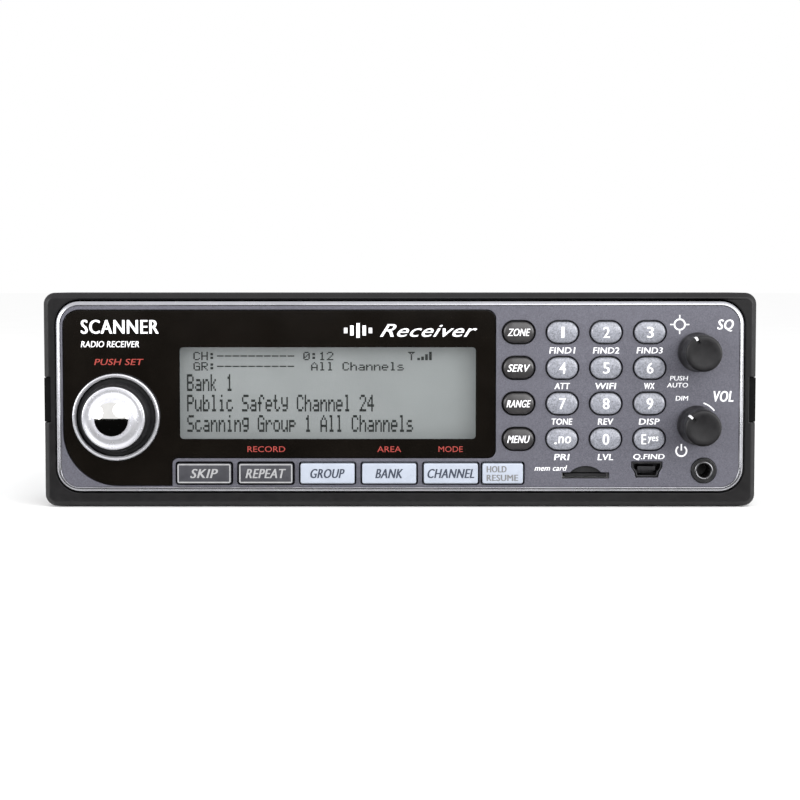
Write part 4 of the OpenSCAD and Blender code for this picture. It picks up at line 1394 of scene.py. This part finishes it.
class SCANNER_OT_legends(bpy.types.Operator):
    """Words and marks printed on the fascia and behind the lens"""
    bl_idname = "scanner.legends"
    bl_label = "Printed Legends"

    def execute(self, context):
        lift = context.scene.scanner_sizes.print_lift
        self.lens_print(lift)
        self.panel_print(lift)
        return {"FINISHED"}

    def lens_print(self, lift):
        face = panel_box("display_lens")[2]
        white = Print(lift)
        white.words("SCANNER", -82.6, 44.9, -62.4, 48.5, face, 0.0, 0.13)
        white.words("RADIO RECEIVER", -82.6, 41.4, -67.5, 43.0, face, 0.15, 0.03)
        for x, tall in ((-14.5, 1.4), (-12.9, 2.6), (-11.3, 3.8), (-9.7, 2.6), (-8.1, 1.4)):
            white.bar(x, 45.75 - tall / 2, x + 0.9, 45.75 + tall / 2, face)
        white.words("Receiver", -5.2, 44.1, 20.0, 47.4, face, 0.45, 0.05)
        white.piece("lens_white_print", "print_white", "lens")
        red = Print(lift)
        red.words("PUSH SET", -79.2, 36.8, -66.4, 38.4, face, 0.2, 0.03)
        red.words("RECORD", -39.6, 14.2, -29.8, 15.7, face, 0.0, 0.0)
        red.words("AREA", -5.9, 14.2, 0.3, 15.7, face, 0.0, 0.0)
        red.words("MODE", 10.0, 14.2, 16.3, 15.7, face, 0.0, 0.0)
        red.piece("lens_red_print", "print_red", "lens")

    def panel_print(self, lift):
        white = Print(lift)
        columns = [middle("key_1")[0], middle("key_2")[0], middle("key_3")[0]]
        rows = [middle(node)[1] for node in ("key_1", "key_4", "key_7", "key_point")]
        labels = (("FIND1", "FIND2", "FIND3"), ("ATT", "WIFI", "WX"), ("TONE", "REV", "DISP"),
                  ("PRI", "LVL", "Q.FIND"))
        for row, words in zip(rows, labels):
            for column, word in zip(columns, words):
                half = 0.68 * len(word)
                white.words(word, column - half, row - 5.5, column + half, row - 3.9, 0.0, 0.12, 0.05)
        white.words("SQ", 82.0, 45.5, 86.3, 48.6, 0.0, 0.2, 0.09)
        white.words("VOL", 81.2, 27.3, 86.4, 30.1, 0.0, 0.2, 0.09)
        white.words("PUSH", 69.9, 32.8, 74.6, 34.0, 0.0, 0.1, 0.02)
        white.words("AUTO", 69.1, 31.0, 74.6, 32.2, 0.0, 0.1, 0.02)
        white.words("DIM", 71.4, 27.6, 74.7, 28.8, 0.0, 0.1, 0.02)
        white.words("mem card", 34.9, 9.35, 43.4, 10.75, 0.0, 0.3, 0.03)
        white.arc(72.3, 47.3, 1.15, 0.42, 0, 360, 0.0)
        for dx, dz in ((1.9, 0.0), (-1.9, 0.0), (0.0, 1.9), (0.0, -1.9)):
            white.bar(72.3 + dx - 0.16 - abs(dx) * 0.22, 47.3 + dz - 0.16 - abs(dz) * 0.22,
                      72.3 + dx + 0.16 + abs(dx) * 0.22, 47.3 + dz + 0.16 + abs(dz) * 0.22, 0.0)
        white.arc(73.0, 14.5, 1.15, 0.42, 125, 415, 0.0)
        white.bar(72.8, 14.6, 73.2, 16.3, 0.0)
        # White arc beside the volume knob: a painted highlight standing in for a glint on the knob's
        # shoulder.
        kx, kz = middle("volume_knob")
        white.arc(kx, kz, 5.75, 0.36, 38, 72, 0.0)
        white.piece("panel_white_print", "print_white", "fascia_paint")


class SCANNER_OT_case(bpy.types.Operator):
    """Bottom pan, slotted cover and rubber feet"""
    bl_idname = "scanner.case"
    bl_label = "Case"

    def cover(self):
        """Sheet with a folded flange down each side, rounded folds and slots over the loudspeaker."""
        x0, z0, d0, x1, z1, d1 = panel_box("top_cover")
        sheet, fold, inner_fold, hem = 1.2, 1.1, 0.05, 0.15

        def section(grow, radius):
            """The folded sheet's outline from foot to foot, grow millimetres inside the outer face."""
            points = [(x0 + grow, z0)]
            for cx, start in ((x0 + grow + radius, 180), (x1 - grow - radius, 90)):
                for k in range(7):
                    a = math.radians(start - 15 * k)
                    points.append((cx + radius * math.cos(a), z1 - grow - radius + radius * math.sin(a)))
            points.append((x1 - grow, z0))
            return points

        outer, inner = section(0.0, fold), section(sheet, inner_fold)
        shell = Shell()
        rims = []
        for inset, d in ((0.0, d0), (0.0, d1 - hem), (hem, d1)):
            rims.append((shell.ring([(x, z - inset * (z > z1 - 0.1)) for x, z in outer], d),
                         shell.ring(inner, d)))
        for (a_out, a_in), (b_out, b_in) in zip(rims, rims[1:]):
            for k in range(len(outer) - 1):
                shell.faces.append((a_out[k], a_out[k + 1], b_out[k + 1], b_out[k]))
                shell.faces.append((a_in[k], b_in[k], b_in[k + 1], a_in[k + 1]))
            for k in (0, len(outer) - 1):
                shell.faces.append((a_out[k], b_out[k], b_in[k], a_in[k]))
        for out, back in (rims[0], rims[-1]):
            for k in range(len(outer) - 1):
                shell.faces.append((out[k], back[k], back[k + 1], out[k + 1]))
        obj = show(bpy.data.objects.new("slotted_cover", shell.mesh("slotted_cover")))
        slots = Shell()
        across, ahead, reach, pitch, half = 30.0, 82.0, 22.0, 5.0, 1.0
        for k in range(-int(reach // pitch), int(reach // pitch) + 1):
            long = math.sqrt(reach ** 2 - (k * pitch) ** 2)
            outline = []
            for side, start in ((1, -90), (-1, 90)):
                for step in range(13):
                    a = math.radians(start + 15 * step)
                    outline.append((across + side * long + half * math.cos(a),
                                    ahead + k * pitch + half * math.sin(a)))
            slots.join([[slots.add(spot(x, z, d)) for x, d in outline] for z in (z1 - 3.0, z1 + 1.0)])
        carve(obj, show(bpy.data.objects.new("slots", slots.mesh("slots"))))
        smooth_by_angle(obj)
        finish_piece(obj, finish("case_paint"), "case_paint", CASE, ("top_cover",))

    def execute(self, context):
        refined("bottom_pan", "chassis", finish("zinc_steel"), "frame_steel", 0.15 * MM)
        self.cover()
        refined("rubber_feet", "feet", finish("foot_rubber"), "foot_rubber", 0.35 * MM, 3, 50)
        return {"FINISHED"}


class SCANNER_OT_screws(bpy.types.Operator):
    """Cross-recessed screws of the cover, the boards and the fascia"""
    bl_idname = "scanner.screws"
    bl_label = "Screws"

    def execute(self, context):
        seed = context.scene.scanner_stage.screw_seed
        tree = screw_repeater()
        for name, node, ink, head_r, head_h, shaft_r, shaft, tilt, places in SCREWS:
            shape = self.screw(head_r, head_h, shaft_r, shaft)
            tree.run(name, place_mesh(name, [spot(*place) for place in places]), "screw_steel", CASE,
                     finish(ink), (node,) if node else (), shape=shape,
                     tilt=[math.radians(a) for a in tilt], seed=seed)
            bpy.data.objects.remove(shape)
        return {"FINISHED"}

    def screw(self, head_r, head_h, shaft_r, shaft):
        """A pan-head screw standing on its seat at the origin, with a cross recess."""
        sides, point = 48, 0.25
        profile = [(0, -shaft), (shaft_r - point, -shaft), (shaft_r, -shaft + point), (shaft_r, 0.0),
                   (head_r, 0.0), (head_r, head_h * 0.35), (head_r * 0.93, head_h * 0.68),
                   (head_r * 0.75, head_h * 0.9), (head_r * 0.5, head_h), (0, head_h)]
        rings = []
        body = Shell()
        for radius, height in profile:
            steps = range(1 if radius == 0 else sides)
            turns = [2 * math.pi * k / sides for k in steps]
            rings.append([body.add((radius * MM * math.cos(a), radius * MM * math.sin(a), height * MM))
                          for a in turns])
        body.join(rings)
        obj = show(bpy.data.objects.new("screw", body.mesh("screw")))
        long, short = head_r * 0.58 * MM, head_r * 0.14 * MM
        for across, along in ((long, short), (short, long)):
            tool = Shell()
            for height in (head_h * 0.25 * MM, head_h * 1.5 * MM):
                for x, y in ((-across, -along), (across, -along), (across, along), (-across, along)):
                    tool.add((x, y, height))
            tool.join([[0, 1, 2, 3], [4, 5, 6, 7]])
            carve(obj, show(bpy.data.objects.new("recess", tool.mesh("recess"))))
        return obj


class SCANNER_OT_boards(bpy.types.Operator):
    """Circuit boards, key mat, shield cans and flat cable"""
    bl_idname = "scanner.boards"
    bl_label = "Boards"

    def execute(self, context):
        stage = context.scene.scanner_stage
        for node in ("front_board", "main_board"):
            dress(node, finish("board_mask"))
        dress("key_mat", finish("mat_silicone"))
        refined("shield_cans", "rf_shields", finish("tin_plate"), "frame_steel", 0.2 * MM)
        dress("ribbon_cable", finish("flat_cable"))
        chips = chip_repeater()
        board_t, chip_half = 1.6, 0.45
        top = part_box("main_board")[0].z + board_t * MM
        patches = bpy.data.meshes.new("board_patches")
        corners, faces = [], []
        for x0, y0, x1, y1 in ((-72, 100, -30, 118), (16, 60, 72, 112), (-20, 100, 12, 118),
                               (-60, 30, 70, 40)):
            first = len(corners)
            for x, y in ((x0, y0), (x1, y0), (x1, y1), (x0, y1)):
                corners.append((x * MM, FRONT_Y + y * MM, top + chip_half * MM))
            faces.append((first, first + 1, first + 2, first + 3))
        patches.from_pydata(corners, [], faces)
        chips.run("board_parts", patches, "circuit_board", CASE, finish("part_tan"), spacing=2.6 * MM,
                  smallest=(0.8 * MM, 0.5 * MM, 0.9 * MM), largest=(2.0 * MM, 1.2 * MM, 0.9 * MM),
                  seed=stage.parts_seed)
        posts = post_repeater()
        can_r, can_h = 3.1, 6.0
        cans = [(x * MM, FRONT_Y + y * MM, top + can_h / 2 * MM)
                for x, y in ((66, 120), (56, 120), (46, 120), (-66, 124))]
        posts.run("board_capacitors", place_mesh("capacitors", cans), "circuit_board", CASE,
                  finish("turned_steel"), radius=can_r * MM, length=can_h * MM, sides=32)
        return {"FINISHED"}


class SCANNER_OT_loudspeaker(bpy.types.Operator):
    """Basket, cone and magnet under the slots of the cover"""
    bl_idname = "scanner.loudspeaker"
    bl_label = "Loudspeaker"

    def execute(self, context):
        refined("speaker_basket", "speaker_frame", finish("tin_plate"), "basket_steel", 0.1 * MM)
        refined("speaker_paper_cone", "speaker_cone", finish("cone_paper"), "cone_paper", 0.1 * MM, 2, 20)
        refined("speaker_ring_magnet", "speaker_magnet", finish("ferrite"), "magnet", 0.3 * MM)
        return {"FINISHED"}


class SCANNER_OT_rear_connectors(bpy.types.Operator):
    """Aerial, power, serial and jack connectors on the rear panel"""
    bl_idname = "scanner.rear_connectors"
    bl_label = "Rear Connectors"

    def execute(self, context):
        refined("antenna_socket", "antenna_connector", finish("bright_nickel"), "connector_nickel",
                0.15 * MM)
        refined("power_jack", "dc_jack", finish("socket_plastic"), "socket_plastic", 0.2 * MM)
        refined("serial_socket", "serial_connector", finish("bright_nickel"), "connector_nickel", 0.1 * MM)
        refined("rear_jack_pair", "rear_jacks", finish("socket_plastic"), "socket_plastic", 0.2 * MM)
        return {"FINISHED"}


class SCANNER_OT_stage(bpy.types.Operator):
    """Pale floor, soft lights and the camera"""
    bl_idname = "scanner.stage"
    bl_label = "Stage"

    def execute(self, context):
        scene = context.scene
        stage = scene.scanner_stage
        scene.view_settings.view_transform = "Standard"
        self.world(scene)
        self.floor()
        lo, hi = CAD_BOX
        centre = (Vector(lo) + Vector(hi)) / 2
        self.light("key_light", (0.4, -0.8, 0.55), centre, 1.0, stage.key_power)
        self.light("left_light", (-0.75, -0.42, 0.22), centre, 0.6, stage.side_power)
        self.light("right_light", (0.75, -0.42, 0.22), centre, 0.6, stage.side_power)
        self.camera(scene, stage)
        return {"FINISHED"}

    def world(self, scene):
        """White to the camera, and a soft grey sky for everything that the object mirrors."""
        world = bpy.data.worlds.new("studio")
        scene.world = world
        world.use_nodes = True
        tree = world.node_tree
        background = tree.nodes["Background"]
        path = tree.nodes.new("ShaderNodeLightPath")
        mix = tree.nodes.new("ShaderNodeMix")
        mix.data_type = "RGBA"
        mix.inputs[6].default_value = (1.0, 1.0, 1.0, 1.0)
        mix.inputs[7].default_value = (0.90, 0.90, 0.92, 1.0)
        tree.links.new(path.outputs["Is Glossy Ray"], mix.inputs[0])
        tree.links.new(mix.outputs[2], background.inputs["Color"])

    def floor(self):
        """A wide pale floor, and a dark card on it that only mirrors see."""
        paint = Paint("floor_paper", (0.97, 0.97, 0.97), 0.9, Specular_IOR_Level=0.0)
        paper = paint.plain(60.0, 0.01, 2.0, 0.01, 0.02)
        self.sheet("floor", -12.0, -12.0, 12.0, 12.0, 0.0, paper)
        shade = Paint("card_black", (0.002, 0.002, 0.002), 0.9, Specular_IOR_Level=0.0).material
        card = self.sheet("dark_card", -4.0, -12.0, 4.0, FRONT_Y - 1.5 * MM, 0.0004, shade)
        card.visible_camera = card.visible_diffuse = card.visible_shadow = False
        card.visible_transmission = False

    def sheet(self, name, x0, y0, x1, y1, z, material):
        data = bpy.data.meshes.new(name)
        data.from_pydata([(x0, y0, z), (x1, y0, z), (x1, y1, z), (x0, y1, z)], [], [(0, 1, 2, 3)])
        data.materials.append(material)
        obj = show(bpy.data.objects.new(name, data))
        return obj

    def light(self, name, place, aim, size, power):
        lamp = bpy.data.lights.new(name, "AREA")
        lamp.shape = "DISK"
        lamp.size = size
        lamp.energy = power
        obj = show(bpy.data.objects.new(name, lamp))
        obj.location = place
        obj.rotation_euler = (aim - Vector(place)).to_track_quat("-Z", "Y").to_euler()

    def camera(self, scene, stage):
        camera = bpy.data.cameras.new("camera")
        camera.lens = stage.focal_length
        camera.sensor_width = 36.0
        camera.clip_start = 0.01
        obj = show(bpy.data.objects.new("camera", camera))
        x0, z0, _, x1, z1, _ = panel_box("front_bezel")
        aim = spot((x0 + x1) / 2, (z0 + z1) / 2, 0.0)
        obj.location = (aim.x, FRONT_Y - stage.camera_distance, stage.camera_height)
        obj.rotation_euler = (aim - obj.location).to_track_quat("-Z", "Y").to_euler()
        scene.camera = obj


class SCANNER_PT_pieces(bpy.types.Panel):
    """Buttons for the pieces of the scanner"""
    bl_idname = "SCANNER_PT_pieces"
    bl_label = "Radio Scanner"
    bl_space_type = "VIEW_3D"
    bl_region_type = "UI"
    bl_category = "Scanner"

    def draw(self, context):
        column = self.layout.column()
        for step in BUILD_STEPS:
            column.operator(step.bl_idname)
        for group in (context.scene.scanner_sizes, context.scene.scanner_colours,
                      context.scene.scanner_stage):
            for key in group.bl_rna.properties.keys():
                if key not in ("rna_type", "name"):
                    column.prop(group, key)


BUILD_STEPS = (
    SCANNER_OT_stage, SCANNER_OT_bezel, SCANNER_OT_fascia, SCANNER_OT_display,
    SCANNER_OT_scroll_control, SCANNER_OT_small_knobs, SCANNER_OT_number_keys,
    SCANNER_OT_function_keys, SCANNER_OT_soft_keys, SCANNER_OT_front_sockets, SCANNER_OT_legends,
    SCANNER_OT_case, SCANNER_OT_screws, SCANNER_OT_boards, SCANNER_OT_loudspeaker,
    SCANNER_OT_rear_connectors)
GROUPS = (("scanner_sizes", ScannerSizes), ("scanner_colours", ScannerColours),
          ("scanner_stage", ScannerStage))


def register():
    for name, group in GROUPS:
        bpy.utils.register_class(group)
        setattr(bpy.types.Scene, name, PointerProperty(type=group))
    for step in BUILD_STEPS:
        bpy.utils.register_class(step)
    bpy.utils.register_class(SCANNER_PT_pieces)


def unregister():
    bpy.utils.unregister_class(SCANNER_PT_pieces)
    for step in reversed(BUILD_STEPS):
        bpy.utils.unregister_class(step)
    for name, group in reversed(GROUPS):
        delattr(bpy.types.Scene, name)
        bpy.utils.unregister_class(group)


def main():
    register()
    for step in BUILD_STEPS:
        family, name = step.bl_idname.split(".")
        getattr(getattr(bpy.ops, family), name)()


if __name__ == "__main__":
    main()
